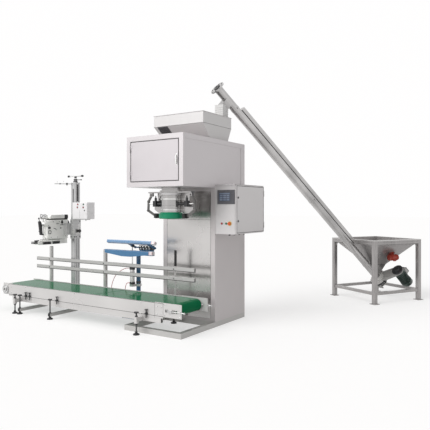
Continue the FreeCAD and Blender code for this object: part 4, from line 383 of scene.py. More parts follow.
# Mesh building
class Form:
    """A mesh put together from blocks, bars, turned shapes and prisms, in axes of its own."""

    def __init__(self, axes=None):
        self.mesh = bmesh.new()
        self.axes = axes or Matrix.Identity(4)

    def point(self, place):
        return self.mesh.verts.new(self.axes @ Vector(place))

    def skin(self, rings, closed_ends=True, closed_loop=False):
        """Faces between rings of points, each ring closed on itself."""
        made = [[self.point(p) for p in ring] for ring in rings]
        pairs = list(zip(made, made[1:]))
        if closed_loop:
            pairs.append((made[-1], made[0]))
        for low, high in pairs:
            count = len(low)
            for i in range(count):
                j = (i + 1) % count
                self.mesh.faces.new((low[i], low[j], high[j], high[i]))
        if closed_ends and not closed_loop:
            self.mesh.faces.new(made[0][::-1])
            self.mesh.faces.new(made[-1])
        return self

    def block(self, low, high, top_inset=(0.0, 0.0)):
        """A block from its lowest to its highest corner, its top drawn in by an inset along X and Y."""
        (x0, y0, z0), (x1, y1, z1) = low, high
        dx, dy = top_inset
        bottom = [(x0, y0, z0), (x1, y0, z0), (x1, y1, z0), (x0, y1, z0)]
        top = [(x0 + dx, y0 + dy, z1), (x1 - dx, y0 + dy, z1), (x1 - dx, y1 - dy, z1),
               (x0 + dx, y1 - dy, z1)]
        return self.skin([bottom, top])

    def prism(self, outline, push):
        """A flat outline pushed along a direction."""
        push = Vector(push)
        return self.skin([[Vector(p) for p in outline], [Vector(p) + push for p in outline]])

    def turned(self, outline, centre, axis=(0, 0, 1), sides=48, ring=False):
        """A lathe shape from (radius, height) points along an axis; ring closes the outline on itself."""
        turn = Vector((0, 0, 1)).rotation_difference(Vector(axis)).to_matrix()
        centre = Vector(centre)
        rings = []
        for radius, height in outline:
            loop = []
            for i in range(sides):
                angle = 2 * math.pi * i / sides
                local = Vector((radius * math.cos(angle), radius * math.sin(angle), height))
                loop.append(centre + turn @ local)
            rings.append(loop)
        return self.skin(rings, closed_ends=not ring, closed_loop=ring)

    def bar(self, start, end, radius, sides=24, round_over=0.0, end_radius=None):
        """A round bar with eased ends."""
        start, end = Vector(start), Vector(end)
        length = (end - start).length
        last = radius if end_radius is None else end_radius
        ease = min(round_over or radius * 0.12, length * 0.3)
        outline = [(radius - ease, 0), (radius, ease), (last, length - ease),
                   (max(last - ease, 1e-4), length)]
        return self.turned(outline, start, (end - start).normalized(), sides)

    def ball(self, centre, radius, sides=20):
        rows = sides // 2
        outline = []
        for i in range(1, rows):
            angle = math.pi * i / rows
            outline.append((radius * math.sin(angle), -radius * math.cos(angle)))
        return self.turned(outline, centre, (0, 0, 1), sides)

    def bolt(self, centre, axis, radius, height):
        """A hexagon head on a washer."""
        axis = Vector(axis).normalized()
        centre = Vector(centre)
        washer = height * 0.25
        self.turned([(radius * 1.35, 0), (radius * 1.35, washer * 0.8), (radius * 1.25, washer)], centre,
                    axis, 20)
        self.turned([(radius, washer), (radius, height * 0.9), (radius * 0.85, height)], centre, axis, 6)
        return self

    def sweep(self, points, radius, sides=12):
        """A round tube through points."""
        points = [Vector(p) for p in points]
        rings = []
        side = None
        for i, p in enumerate(points):
            ahead = points[min(i + 1, len(points) - 1)] - points[max(i - 1, 0)]
            ahead.normalize()
            if side is None:
                side = ahead.orthogonal().normalized()
            else:
                side = (side - ahead * side.dot(ahead)).normalized()
            other = ahead.cross(side)
            ring = []
            for k in range(sides):
                turn = 2 * math.pi * k / sides
                ring.append(p + (side * math.cos(turn) + other * math.sin(turn)) * radius)
            rings.append(ring)
        return self.skin(rings)


def piece(name, form, finish, body="machine", stands_for=(), bevel=0.0, segments=2, sharp=38,
          subdivide=0):
    """Make a form into an object that rides on a body and takes its finish from a material slot."""
    bmesh.ops.recalc_face_normals(form.mesh, faces=form.mesh.faces)
    mesh = bpy.data.meshes.new(name)
    form.mesh.to_mesh(mesh)
    form.mesh.free()
    for face in mesh.polygons:
        face.use_smooth = True
    mesh.set_sharp_from_angle(angle=math.radians(sharp))
    mesh.materials.append(FINISHES[finish].material)
    obj = bpy.data.objects.new(name, mesh)
    bpy.context.scene.collection.objects.link(obj)
    if bevel:
        edges = obj.modifiers.new("edges", "BEVEL")
        edges.width = bevel
        edges.segments = segments
        edges.limit_method = "ANGLE"
        edges.angle_limit = math.radians(30)
        edges.harden_normals = False
    if subdivide:
        smooth = obj.modifiers.new("rounding", "SUBSURF")
        smooth.levels = subdivide
        smooth.render_levels = subdivide
    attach(obj, body)
    if stands_for:
        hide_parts(*stands_for)
    return obj


# Air hoses of the sealer
HOSE_DIAMETER = 0.008
PORT_X, PORT_Y = -0.86225, -0.150
UPPER_PORT, LOWER_PORT = 0.670, 0.470
VALVE_X, VALVE_LEVEL = -0.949, 0.050
VALVE_NEAR, VALVE_FAR = -0.075, -0.045
HOSE_ROUTES = {
    "air_hose_1": ([
        (PORT_X, PORT_Y, UPPER_PORT), (PORT_X - 0.070, PORT_Y, UPPER_PORT), (-1.005, -0.135, 0.644),
        (-1.092, -0.112, 0.608), (-1.172, -0.097, 0.557), (-1.226, -0.090, 0.493), (-1.262, -0.086, 0.420),
        (-1.280, -0.082, 0.345), (-1.278, -0.079, 0.265), (-1.252, -0.077, 0.190), (-1.200, -0.075, 0.130),
        (-1.128, -0.074, 0.086), (-1.062, VALVE_NEAR, 0.057), (VALVE_X - 0.050, VALVE_NEAR, VALVE_LEVEL),
        (VALVE_X, VALVE_NEAR, VALVE_LEVEL)], 1.07),
    "air_hose_2": ([
        (PORT_X, PORT_Y, LOWER_PORT), (PORT_X - 0.050, PORT_Y, LOWER_PORT), (-0.966, -0.118, 0.438),
        (-1.002, -0.096, 0.382), (-1.026, -0.076, 0.315), (-1.038, -0.060, 0.240), (-1.042, -0.049, 0.172),
        (-1.040, VALVE_FAR, 0.108), (-1.020, VALVE_FAR, 0.072), (VALVE_X - 0.040, VALVE_FAR, VALVE_LEVEL),
        (VALVE_X, VALVE_FAR, VALVE_LEVEL)], 0.58),
}


def air_hose(name, route):
    curve = bpy.data.curves.new(name + "_line", "CURVE")
    curve.dimensions = "3D"
    curve.bevel_depth = HOSE_DIAMETER / 2
    curve.bevel_resolution = 4
    curve.resolution_u = 12
    curve.use_fill_caps = True
    spline = curve.splines.new("NURBS")
    spline.points.add(len(route) - 1)
    for point, place in zip(spline.points, route):
        point.co = (*place, 1.0)
    spline.order_u = 3
    spline.use_endpoint_u = True
    curve.materials.append(FINISHES["hose_red"].material)
    obj = bpy.data.objects.new(name + "_cord", curve)
    bpy.context.scene.collection.objects.link(obj)
    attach(obj, "machine")
    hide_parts(name)


for name, (route, length) in HOSE_ROUTES.items():
    air_hose(name, route)

# Shared small shapes
def border(form, low, high, width, front, back):
    """A mitred frame round a rectangle of the XZ plane, between two depths."""
    (x0, z0), (x1, z1) = low, high
    corners = [(x0, z0, 1, 1), (x1, z0, -1, 1), (x1, z1, -1, -1), (x0, z1, 1, -1)]
    rings = []
    for x, z, sx, sz in corners:
        rings.append([(x, front, z), (x + sx * width, front, z + sz * width),
                      (x + sx * width, back, z + sz * width), (x, back, z)])
    return form.skin(rings, closed_loop=True)


def toothed(form, inner, outer, low, high, count, centre=(0, 0, 0), axis=(0, 0, 1), share=0.5):
    """A ring or body with square teeth round it; an inner radius of zero closes its ends."""
    turn = Vector((0, 0, 1)).rotation_difference(Vector(axis)).to_matrix()
    centre = Vector(centre)
    rings = []
    for height in (low, high):
        ring = []
        for i in range(count):
            for part, radius in ((0.0, outer), (share, outer), (share + 0.04, inner), (0.96, inner)):
                angle = 2 * math.pi * (i + part) / count
                ring.append(centre + turn @ Vector((radius * math.cos(angle), radius * math.sin(angle),
                                                    height)))
        rings.append(ring)
    return form.skin(rings)


def ring_of(form, count, radius, centre, axis, bolt_radius, bolt_height, start=0.0):
    """Bolts on a circle."""
    turn = Vector((0, 0, 1)).rotation_difference(Vector(axis)).to_matrix()
    for i in range(count):
        angle = start + 2 * math.pi * i / count
        spot = Vector(centre) + turn @ Vector((radius * math.cos(angle), radius * math.sin(angle), 0))
        form.bolt(spot, axis, bolt_radius, bolt_height)
    return form


def socket_screw(form, centre, axis, radius, height):
    """A round screw head with a sunk middle."""
    outline = [(radius, 0), (radius, height * 0.8), (radius * 0.85, height), (radius * 0.5, height),
               (radius * 0.5, height * 0.45)]
    return form.turned(outline, centre, axis, 16)


# Weigher housing and hopper
FRONT = -0.686
DOOR_HALF, DOOR_LOW, DOOR_TOP = 0.368, 1.808, 2.298
piece("door_gasket", border(Form(), (-DOOR_HALF + 0.001, DOOR_LOW + 0.001),
                            (DOOR_HALF - 0.001, DOOR_TOP - 0.001),
                            0.007, FRONT - 0.0018, FRONT + 0.002), "dark_gap_and_shade", "housing_door")
piece("latch_plate", Form().block((0.326, FRONT - 0.0012, 1.985), (0.346, FRONT + 0.001, 2.121)),
      "bright_steel", "housing_door", bevel=0.0008)
roof_trim = Form()
for x0, x1, y0, y1 in ((-0.405, 0.360, 0.000, 0.020), (-0.405, 0.360, 0.430, 0.450),
                       (-0.405, -0.385, 0.020, 0.430), (0.340, 0.360, 0.020, 0.430)):
    roof_trim.block((x0, y0, 2.360), (x1, y1, 2.365))
for x in (-0.36, -0.18, 0.0, 0.18, 0.32):
    for y in (0.010, 0.440):
        roof_trim.bolt((x, y, 2.365), (0, 0, 1), 0.007, 0.007)
for y in (0.12, 0.33):
    for x in (-0.395, 0.350):
        roof_trim.bolt((x, y, 2.365), (0, 0, 1), 0.007, 0.007)
piece("hopper_flange", roof_trim, "hopper_sheet", "machine", bevel=0.0008)

RIM_LEFT, RIM_RIGHT, RIM_NEAR, RIM_FAR, RIM_TOP, LIP_LOW = -0.385, 0.388, -0.218, 0.445, 2.682, 2.540
bead = Form()
bead_ring = []
for x, y, sx, sy in ((RIM_LEFT, RIM_NEAR, -1, -1), (RIM_RIGHT, RIM_NEAR, 1, -1), (RIM_RIGHT, RIM_FAR, 1, 1),
                     (RIM_LEFT, RIM_FAR, -1, 1)):
    bead_ring.append([(x + sx * (r - 0.004) * 1.0, y + sy * (r - 0.004), RIM_TOP + h)
                      for r, h in ((0.0, -0.003), (0.009, -0.003), (0.011, 0.000), (0.009, 0.003),
                                   (0.0, 0.003))])
bead.skin(bead_ring, closed_loop=True)
piece("hopper_rim_bead", bead, "hopper_sheet", "machine")
# Dark strips along the fold of the hopper's lip: painted shade in the crease.
fold = Form()
fold.block((RIM_LEFT - 0.001, RIM_NEAR - 0.0012, LIP_LOW - 0.001),
           (RIM_RIGHT + 0.001, RIM_NEAR, LIP_LOW + 0.002))
fold.block((RIM_RIGHT, RIM_NEAR, LIP_LOW - 0.001), (RIM_RIGHT + 0.0012, RIM_FAR, LIP_LOW + 0.002))
piece("hopper_fold_shade", fold, "dark_gap_and_shade", "machine")

# Ribbed vent on the hopper's front slope: Y runs down the slope and Z stands off it
SLOPE = Vector((0, 0.238, -0.180)).normalized()
SLOPE_OUT = Vector((0, -0.180, -0.238)).normalized()
vent_axes = Matrix.Translation(Vector((-0.250, -0.218, 2.540))) @ Matrix(
    ((1, SLOPE.x, SLOPE_OUT.x, 0), (0, SLOPE.y, SLOPE_OUT.y, 0), (0, SLOPE.z, SLOPE_OUT.z, 0),
     (0, 0, 0, 1)))
vent = Form(vent_axes)
vent.block((-0.080, 0.010, 0.0), (0.080, 0.150, 0.002))
piece("vent_back", vent, "dark_gap_and_shade", "machine", bevel=0.0005)
vent = Form(vent_axes)
for x in (-0.082, 0.076):
    vent.block((x, 0.008, 0.0), (x + 0.006, 0.152, 0.005))
for y in (0.006, 0.148):
    vent.block((-0.082, y, 0.0), (0.082, y + 0.006, 0.005))
for k in range(7):
    vent.block((-0.074 + k * 0.022, 0.012, 0.002), (-0.066 + k * 0.022, 0.148, 0.0045))
piece("vent_ribs", vent, "gear_dark", "machine", bevel=0.0006)

# Filling spout and bag clamp
SPOUT_Y = -0.355
SPOUT_RADIUS = 0.118
for number, (level, height, out) in enumerate(((1.592, 0.020, 0.0035), (1.462, 0.016, 0.0030)), 1):
    band = Form()
    radius = SPOUT_RADIUS
    band.turned([(radius - 0.001, 0), (radius + out, 0.001), (radius + out, height - 0.001),
                 (radius - 0.001, height)],
                (0, SPOUT_Y, level), (0, 0, 1), 72, ring=True)
    for side in (-1, 1):
        angle = math.radians(-118)
        spot = Vector((radius * math.cos(angle), SPOUT_Y + radius * math.sin(angle), level + height / 2))
        along = Vector((-math.sin(angle), math.cos(angle), 0))
        out_way = Vector((math.cos(angle), math.sin(angle), 0))
        lug = Matrix.Translation(spot) @ Matrix(((along.x, out_way.x, 0, 0), (along.y, out_way.y, 0, 0),
                                                 (0, 0, 1, 0), (0, 0, 0, 1)))
        low = 0.003 if side > 0 else -0.007
        corner = Form(lug).block((low, 0.0, -height / 2), (low + 0.004, 0.020, height / 2))
        if side > 0:
            corner.bolt((low + 0.004, 0.012, 0), (1, 0, 0), 0.005, 0.006)
        else:
            corner.bar((low - 0.006, 0.012, 0), (0.003, 0.012, 0), 0.003)
        piece("band_lug_%d_%s" % (number, "a" if side > 0 else "b"), corner, "bright_steel", "machine")
    piece("spout_band_%d" % number, band, "bright_steel", "machine")
neck = Form().turned([(0.117, 0.0), (0.127, 0.001), (0.129, 0.004), (0.129, 0.020), (0.126, 0.023),
                      (0.117, 0.023)],
                     (0, SPOUT_Y, 1.6545), (0, 0, 1), 72, ring=True)
piece("spout_white_band", neck, "white_paint", "machine")
beads = Form()
for level in (1.525, 1.645):
    beads.turned([(0.117, -0.003), (0.1195, -0.0015), (0.1195, 0.0015), (0.117, 0.003)],
                 (0, SPOUT_Y, level),
                 (0, 0, 1), 72, ring=True)
piece("spout_beads", beads, "spout_steel", "machine")

RING_TO_PAD = 0.1495
PAD_BACK, PAD_HALF, PAD_LOW, PAD_HIGH = 0.181, 0.041, 1.3915, 1.4485
PIVOT = Vector((-0.308, SPOUT_Y, 1.655))
for side, body in ((1, "clamp_arm_left"), (-1, "clamp_arm_right")):
    swing = Matrix.Translation(PIVOT) @ Matrix.Rotation(math.radians(13), 4,
                                                        "Y") @ Matrix.Translation(-PIVOT)
    axes = Matrix.Diagonal((side, 1, 1, 1)) @ swing
    pad = Form(axes)
    arc = []
    for k in range(13):
        y = -PAD_HALF + 2 * PAD_HALF * k / 12
        arc.append((-math.sqrt(RING_TO_PAD ** 2 - y ** 2), SPOUT_Y + y, PAD_LOW))
    outline = arc + [(-PAD_BACK - 0.001, SPOUT_Y + PAD_HALF, PAD_LOW),
                     (-PAD_BACK - 0.001, SPOUT_Y - PAD_HALF, PAD_LOW)]
    pad.prism(outline, (0, 0, PAD_HIGH - PAD_LOW))
    for k in range(3):
        z = PAD_LOW + 0.011 + 0.016 * k
        pad.block((-PAD_BACK - 0.0035, SPOUT_Y - PAD_HALF + 0.004, z),
                  (-PAD_BACK, SPOUT_Y + PAD_HALF - 0.004, z + 0.004))
    piece(body + "_pad", pad, "black_rubber", body, bevel=0.002)
    trim = Form(Matrix.Diagonal((side, 1, 1, 1)))
    front = SPOUT_Y - 0.0155
    trim.turned([(0.0115, 0), (0.0115, 0.004), (0.009, 0.006)], (-0.308, front, 1.655), (0, -1, 0), 24)
    for x, z in ((-0.359, 1.574), (-0.365, 1.460)):
        trim.turned([(0.0175, 0), (0.0175, 0.0035), (0.015, 0.005)], (x, SPOUT_Y - 0.0065, z), (0, -1, 0),
                    28)
        trim.bolt((x, SPOUT_Y - 0.0112, z), (0, -1, 0), 0.008, 0.006)
        trim.turned([(0.0175, 0), (0.0175, 0.0035), (0.015, 0.005)], (x, SPOUT_Y + 0.0065, z), (0, 1, 0),
                    28)
    piece(body + "_joints", trim, "arm_steel", body, bevel=0.0006)
    fit = Form(Matrix.Diagonal((side, 1, 1, 1)))
    for x in (-0.261, -0.225):
        fit.block((x - 0.004, SPOUT_Y - 0.030, 1.5105), (x + 0.004, SPOUT_Y + 0.030, 1.5795))
    fit.bar((-0.243, SPOUT_Y, 1.618), (-0.243, SPOUT_Y, 1.634), 0.008)
    fit.bar((-0.243, SPOUT_Y, 1.634), (-0.243, SPOUT_Y, 1.646), 0.0055)
    for z in (1.520, 1.570):
        for y in (-0.022, 0.022):
            socket_screw(fit, (-0.265, SPOUT_Y + y, z), (-1, 0, 0), 0.0045, 0.004)
    fit.turned([(0.012, 0), (0.012, 0.005), (0.0095, 0.007)], (-0.265, SPOUT_Y, 1.545), (-1, 0, 0), 24)
    piece("clamp_cylinder_trim_%s" % ("left" if side > 0 else "right"), fit, "black_metal", "machine",
          bevel=0.0008)

# Control cabinet
CABINET_FRONT, CABINET_RIGHT = -0.010, 0.716
SCREEN_X0, SCREEN_X1, SCREEN_Z0, SCREEN_Z1 = 0.4898, 0.6535, 1.575, 1.6835
piece("screen_glass", Form().block((SCREEN_X0 + 0.0005, -0.0170, SCREEN_Z0 + 0.0005),
                                   (SCREEN_X1 - 0.0005, -0.0157, SCREEN_Z1 - 0.0005)),
      "screen_glass", "machine", bevel=0.0003)
fields = Form()
for row in range(3):
    for column in range(3):
        x = SCREEN_X0 + 0.012 + column * 0.049
        z = SCREEN_Z0 + 0.010 + row * 0.026
        fields.block((x, -0.01735, z), (x + 0.040, -0.0169, z + 0.018))
fields.block((SCREEN_X0 + 0.008, -0.01735, SCREEN_Z1 - 0.020),
             (SCREEN_X1 - 0.008, -0.0169, SCREEN_Z1 - 0.006))
piece("screen_fields", fields, "screen_field", "machine", bevel=0.0002)
surround = border(Form(), (0.4655, 1.5405), (0.7125, 1.7145), 0.006, -0.0185, -0.0165)
border(surround, (SCREEN_X0 - 0.004, SCREEN_Z0 - 0.004), (SCREEN_X1 + 0.004, SCREEN_Z1 + 0.004), 0.004,
       -0.0182, -0.0165)
for x in (0.473, 0.705):
    for z in (1.548, 1.707):
        socket_screw(surround, (x, -0.0165, z), (0, -1, 0), 0.003, 0.002)
for k in range(4):
    z = 1.583 + 0.026 * k
    surround.block((0.668, -0.0185, z), (0.690, -0.0165, z + 0.016))
piece("screen_bezel", surround, "gear_dark", "machine", bevel=0.0006)
collars = Form()
for x, radius in ((0.530, 0.0165), (0.594, 0.0165)):
    collars.turned([(0.0136, 0), (radius, 0), (radius, 0.0045), (radius - 0.001, 0.0058), (0.0136, 0.0058)],
                   (x, CABINET_FRONT, 1.300), (0, -1, 0), 40, ring=True)
piece("button_collars", collars, "bright_steel", "machine")
stop = Form().turned([(0.0155, 0), (0.029, 0), (0.029, 0.001), (0.028, 0.0018), (0.0155, 0.0018)],
                     (0.640, CABINET_FRONT, 1.300), (0, -1, 0), 48, ring=True)
piece("stop_ring", stop, "stop_yellow", "machine")
seam = Form(Matrix(((0, -1, 0, 0), (1, 0, 0, 0), (0, 0, 1, 0), (0, 0, 0, 1))))
border(seam, (0.004, 1.183), (0.706, 1.767), 0.006, -(CABINET_RIGHT + 0.0192), -(CABINET_RIGHT + 0.017))
piece("cabinet_door_edge", seam, "dark_gap_and_shade", "cabinet_door")
locks = Form()
for z in (1.330, 1.620):
    locks.turned([(0.013, 0), (0.013, 0.003), (0.010, 0.0055), (0.004, 0.0055), (0.004, 0.0035)],
                 (CABINET_RIGHT + 0.0180, 0.040, z), (1, 0, 0), 32)
piece("cabinet_locks", locks, "black_metal", "cabinet_door")
drip = Form().block((0.430, -0.020, 1.782), (0.730, 0.728, 1.785)).block((0.430, -0.020, 1.770),
                                                                         (0.722, -0.0175, 1.782))
piece("cabinet_drip_edge", drip, "cabinet_sheet", "machine", bevel=0.0008)
glands = Form()
for y in (0.12, 0.24, 0.36, 0.48):
    glands.turned([(0.014, 0), (0.014, 0.008), (0.011, 0.010), (0.011, 0.022), (0.007, 0.026)],
                  (0.56, y, 1.168),
                  (0, 0, -1), 6)
piece("cable_glands", glands, "black_metal", "machine")

# Column and base
lines = Form()
for x in (-0.3265, 0.3645):
    lines.block((x - 0.0015, -0.0158, 0.105), (x + 0.0015, -0.0140, 1.706))
lines.block((-0.326, -0.0156, 1.3425), (0.365, -0.0140, 1.3455))
piece("column_seams", lines, "dark_gap_and_shade", "machine")

# Belt conveyor
NEAR, FAR = -0.745, -0.202
BELT_Y = (NEAR + FAR) / 2
DRUM_LEVEL = 0.305
DRIVE_X, TAIL_X = -2.755, 0.290
plate_bolts = Form()
for x, z in ((0.099, 0.344), (0.099, 0.258), (0.160, 0.344), (0.160, 0.258), (-2.630, 0.344),
             (-2.630, 0.258),
             (-0.150, 0.235), (-1.300, 0.235), (-2.300, 0.235), (-0.150, 0.366), (-1.300, 0.366), (-2.300,
                                                                                                   0.366)):
    plate_bolts.bolt((x, NEAR, z), (0, -1, 0), 0.006, 0.006)
    plate_bolts.bolt((x, FAR, z), (0, 1, 0), 0.006, 0.006)
for y, way in ((NEAR + 0.004, -1), (FAR - 0.004, 1)):
    for x, z in ((0.205, 0.375), (0.425, 0.375), (0.205, 0.250), (0.425, 0.250), (-2.700, 0.375),
                 (-2.700, 0.250)):
        plate_bolts.bolt((x, y, z), (0, way, 0), 0.006, 0.006)
piece("conveyor_bolts", plate_bolts, "drum_steel", "machine")
# Dark strips on the side plates: painted shade along the flange folds at top and bottom, and an upright dark
# line across the plate.
lines = Form()
for y0, y1 in ((NEAR - 0.0006, NEAR + 0.0005), (FAR - 0.0005, FAR + 0.0006)):
    lines.block((0.0600, y0, 0.2140), (0.0625, y1, 0.3860))
    lines.block((-2.678, y0, 0.2330), (0.183, y1, 0.2375))
    lines.block((-2.678, y0, 0.3835), (0.183, y1, 0.3870))
piece("conveyor_plate_shade_lines", lines, "dark_gap_and_shade", "machine")
knobs = Form()
for x in (-2.280, -2.199, -1.626, -0.058):
    y = NEAR - 0.014
    knobs.bar((x, y, 0.196), (x, y, 0.292), 0.0065)
    knobs.turned([(0.0065, 0.0), (0.019, 0.001), (0.019, 0.007), (0.010, 0.011), (0.0, 0.011)],
                 (x, y, 0.290),
                 (0, 0, 1), 20)
    knobs.turned([(0.0065, 0.0), (0.012, 0.0), (0.012, 0.010), (0.0065, 0.010)], (x, y, 0.252), (0, 0, 1),
                 6, ring=True)
    knobs.block((x - 0.016, NEAR - 0.028, 0.238), (x + 0.016, NEAR + 0.001, 0.252))
piece("side_adjusters", knobs, "black_metal", "machine", bevel=0.0006)
seal = Form()
for y0, y1 in ((NEAR + 0.004, NEAR + 0.0212), (FAR - 0.0212, FAR - 0.004)):
    seal.block((-2.665, y0, 0.3757), (0.200, y1, 0.3775))
piece("belt_edge_seals", seal, "dark_gap_and_shade", "machine")
bearing = Form()
for y, way in ((NEAR + 0.004 - 0.012, -1), (FAR - 0.004 + 0.012, 1)):
    ring_of(bearing, 4, 0.052, (DRIVE_X, y, DRUM_LEVEL), (0, way, 0), 0.0065, 0.007, math.radians(45))
    bearing.turned([(0.0205, 0.012), (0.033, 0.012), (0.033, 0.0135), (0.030, 0.0145), (0.0205, 0.0145)],
                   (DRIVE_X, y, DRUM_LEVEL), (0, way, 0), 48, ring=True)
    bearing.bar((DRIVE_X, y - way * 0.002, DRUM_LEVEL + 0.050),
                (DRIVE_X, y + way * 0.012, DRUM_LEVEL + 0.054), 0.003)
piece("bearing_bolts", bearing, "bright_steel", "machine")
take_up = Form()
for y, way in ((NEAR + 0.004 - 0.009, -1), (FAR - 0.004 + 0.009, 1)):
    for x in (0.3305, 0.4490):
        take_up.turned([(0.0072, 0), (0.0125, 0), (0.0125, 0.007), (0.0115, 0.008), (0.0072, 0.008)],
                       (x, y, DRUM_LEVEL),
                       (1, 0, 0), 6, ring=True)
    threads = []
    for k in range(38):
        x = 0.339 + k * 0.0028
        threads += [(0.0070, x), (0.0078, x + 0.0014)]
    take_up.turned([(r, x - 0.339) for r, x in threads], (0.339, y, DRUM_LEVEL), (1, 0, 0), 20)
    take_up.turned([(0.0125, 0), (0.0125, 0.006), (0.0110, 0.008)], (0.4905, y, DRUM_LEVEL), (1, 0, 0), 6)
piece("take_up_screws", take_up, "bright_steel", "machine")
for name, body, x, reach in (("drive_drum_end", "drive_drum", DRIVE_X, 0.276),
                             ("tail_drum_end", "tail_drum", TAIL_X, 0.265)):
    ends = Form()
    for way in (-1, 1):
        y = BELT_Y + way * reach
        ends.turned([(0.006, -0.001), (0.006, 0.0006), (0.004, 0.0006), (0.004, -0.004)],
                    (x, y, DRUM_LEVEL),
                    (0, way, 0), 24)
        y = BELT_Y + way * 0.256
        ends.turned([(0.030, -0.001), (0.058, -0.001), (0.058, 0.0008), (0.030, 0.0008)],
                    (x, y, DRUM_LEVEL),
                    (0, way, 0), 48, ring=True)
    piece(name, ends, "dark_gap_and_shade", body)
lap = Form()
lap.prism([(-1.000, BELT_Y - 0.25, 0.37995), (-0.972, BELT_Y - 0.25, 0.37995),
           (-0.872, BELT_Y + 0.25, 0.37995),
           (-0.900, BELT_Y + 0.25, 0.37995)], (0, 0, 0.0005))
piece("belt_joint", lap, "belt_joint", "machine")

# Levelling feet: threaded stems, nuts, washers and round hand knobs
FEET = [(x, y, 0.136, 0.213) for x in (-2.416, -0.143) for y in (NEAR - 0.089, FAR + 0.089)]
FEET += [(-2.000 + side * 0.319, y, 0.040, 0.080) for side in (-1, 1) for y in (-0.825, -0.050)]
threads, nuts, rubber_soles = Form(), Form(), Form()
for x, y, low, high in FEET:
    outline = []
    level = 0.0305
    while level < 0.254:
        outline += [(0.0090, level), (0.0099, level + 0.0016)]
        level += 0.0032
    below = [p for p in outline if p[1] < low - 0.002]
    above = [p for p in outline if p[1] > high + 0.002]
    for part in (below, above):
        if len(part) > 3:
            threads.turned(part, (x, y, 0), (0, 0, 1), 14)
    for level in (low - 0.0145, high):
        if level > 0.032:
            nuts.turned([(0.0205, 0.0005), (0.0205, 0.0025), (0.0165, 0.0030), (0.0165, 0.0125),
                         (0.0145, 0.0140)],
                        (x, y, level), (0, 0, 1), 6)
    nuts.turned([(0.0145, 0.000), (0.0165, 0.002), (0.0165, 0.012), (0.0145, 0.014)], (x, y, 0.0275),
                (0, 0, 1), 6)
    toothed(nuts, 0.0262, 0.0284, 0.2575, 0.2705, 20, (x, y, 0))
    rubber_soles.turned([(0.036, 0.0005), (0.0395, 0.0015), (0.0395, 0.0060), (0.0375, 0.0075)], (x, y, 0),
                        (0, 0, 1), 40)
piece("foot_threads", threads, "dark_steel", "machine")
piece("foot_nuts", nuts, "black_metal", "machine", bevel=0.0005)
piece("foot_soles", rubber_soles, "black_rubber", "machine")

# Guide rails
RAIL_BACK, RAIL_FRONT = -0.197, -0.217
ROD_X, ROD_Y = -0.066, -0.178
ends = Form()
for level in (0.692, 0.572):
    for x, way in ((-2.725, -1), (0.257, 1)):
        ends.block((min(x, x + way * 0.004), RAIL_FRONT + 0.0005, level + 0.0005),
                   (max(x, x + way * 0.004), RAIL_BACK - 0.0005, level + 0.0495))
piece("rail_end_caps", ends, "black_rubber", "machine", bevel=0.0012)
tops = Form()
for x in (-2.457, -1.320):
    tops.block((x + 0.0005, RAIL_BACK + 0.0005, 0.905), (x + 0.0395, RAIL_BACK + 0.0395, 0.9095),
               (0.003, 0.003))
piece("post_caps", tops, "black_rubber", "machine", bevel=0.001)
grip = Form()
outline = [(0.0145, 0.0), (0.0165, 0.004)]
for k in range(9):
    outline += [(0.0165, 0.010 + k * 0.020), (0.0155, 0.014 + k * 0.020)]
outline += [(0.0165, 0.192), (0.0140, 0.200), (0.006, 0.203)]
grip.turned(outline, (ROD_X, ROD_Y, 0.752), (0, 0, 1), 28)
piece("rail_rod_grip", grip, "black_rubber", "machine")
clips = Form()
for level in (0.717, 0.597):
    clips.turned([(0.0112, -0.017), (0.0200, -0.017), (0.0215, -0.014), (0.0215, 0.014), (0.0200, 0.017),
                  (0.0112, 0.017)],
                 (ROD_X, ROD_Y, level), (0, 0, 1), 28, ring=True)
    for x in (-2.437, -1.300, -0.066):
        clips.turned([(0.009, 0), (0.009, 0.0022), (0.0065, 0.0036)], (x, RAIL_FRONT, level), (0, -1, 0),
                     20)
piece("rail_clips", clips, "dark_steel", "machine")

# Sewing column
SEW_X, SEW_Y = -2.000, -0.095
COLUMN = 0.045
# Flat dark strips stand for the column's slots: their darkness is painted shade in place of the slots' depth.
slots = Form()
for dx in (-0.0225, 0.0225):
    slots.block((SEW_X + dx - 0.0025, SEW_Y - COLUMN - 0.0002, 0.085),
                (SEW_X + dx + 0.0025, SEW_Y - COLUMN + 0.001, 1.855))
for dy in (-0.020, 0.020):
    slots.block((SEW_X + COLUMN - 0.001, SEW_Y + dy - 0.003, 0.085),
                (SEW_X + COLUMN + 0.0002, SEW_Y + dy + 0.003, 1.855))
    slots.block((SEW_X - COLUMN - 0.0002, SEW_Y + dy - 0.004, 0.085),
                (SEW_X - COLUMN + 0.001, SEW_Y + dy + 0.004, 1.855))
piece("column_slot_shade", slots, "gear_dark", "machine")
# A dark strip on the column's right side near the top: painted shade of a slot.
strip = Form().block((SEW_X + COLUMN, SEW_Y - 0.012, 1.590),
                     (SEW_X + COLUMN + 0.0002, SEW_Y + 0.012, 1.840))
piece("column_side_slot_shade", strip, "dark_gap_and_shade", "machine")
cap = Form().block((SEW_X - 0.050, SEW_Y - 0.050, 1.862), (SEW_X + 0.050, SEW_Y + 0.050, 1.870),
                   (0.004, 0.004))
for x in (-0.036, 0.036):
    for y in (-0.036, 0.036):
        socket_screw(cap, (SEW_X + x, SEW_Y + y, 1.870), (0, 0, 1), 0.005, 0.004)
piece("column_cap", cap, "carriage_alu", "machine", bevel=0.001)
head_nut = Form()
head_nut.turned([(0.0245, 0), (0.034, 0.002), (0.034, 0.016), (0.030, 0.020), (0.0245, 0.020)],
                (SEW_X, SEW_Y, 1.8705),
                (0, 0, 1), 36, ring=True)
toothed(head_nut, 0.0255, 0.0275, 0.0, 0.022, 22, (SEW_X, SEW_Y, 1.898))
head_nut.bar((SEW_X + 0.026, SEW_Y, 1.909), (SEW_X + 0.118, SEW_Y, 1.909), 0.005)
head_nut.ball((SEW_X + 0.122, SEW_Y, 1.909), 0.010, 16)
piece("column_head_lock", head_nut, "black_metal", "machine")
turn = Form()
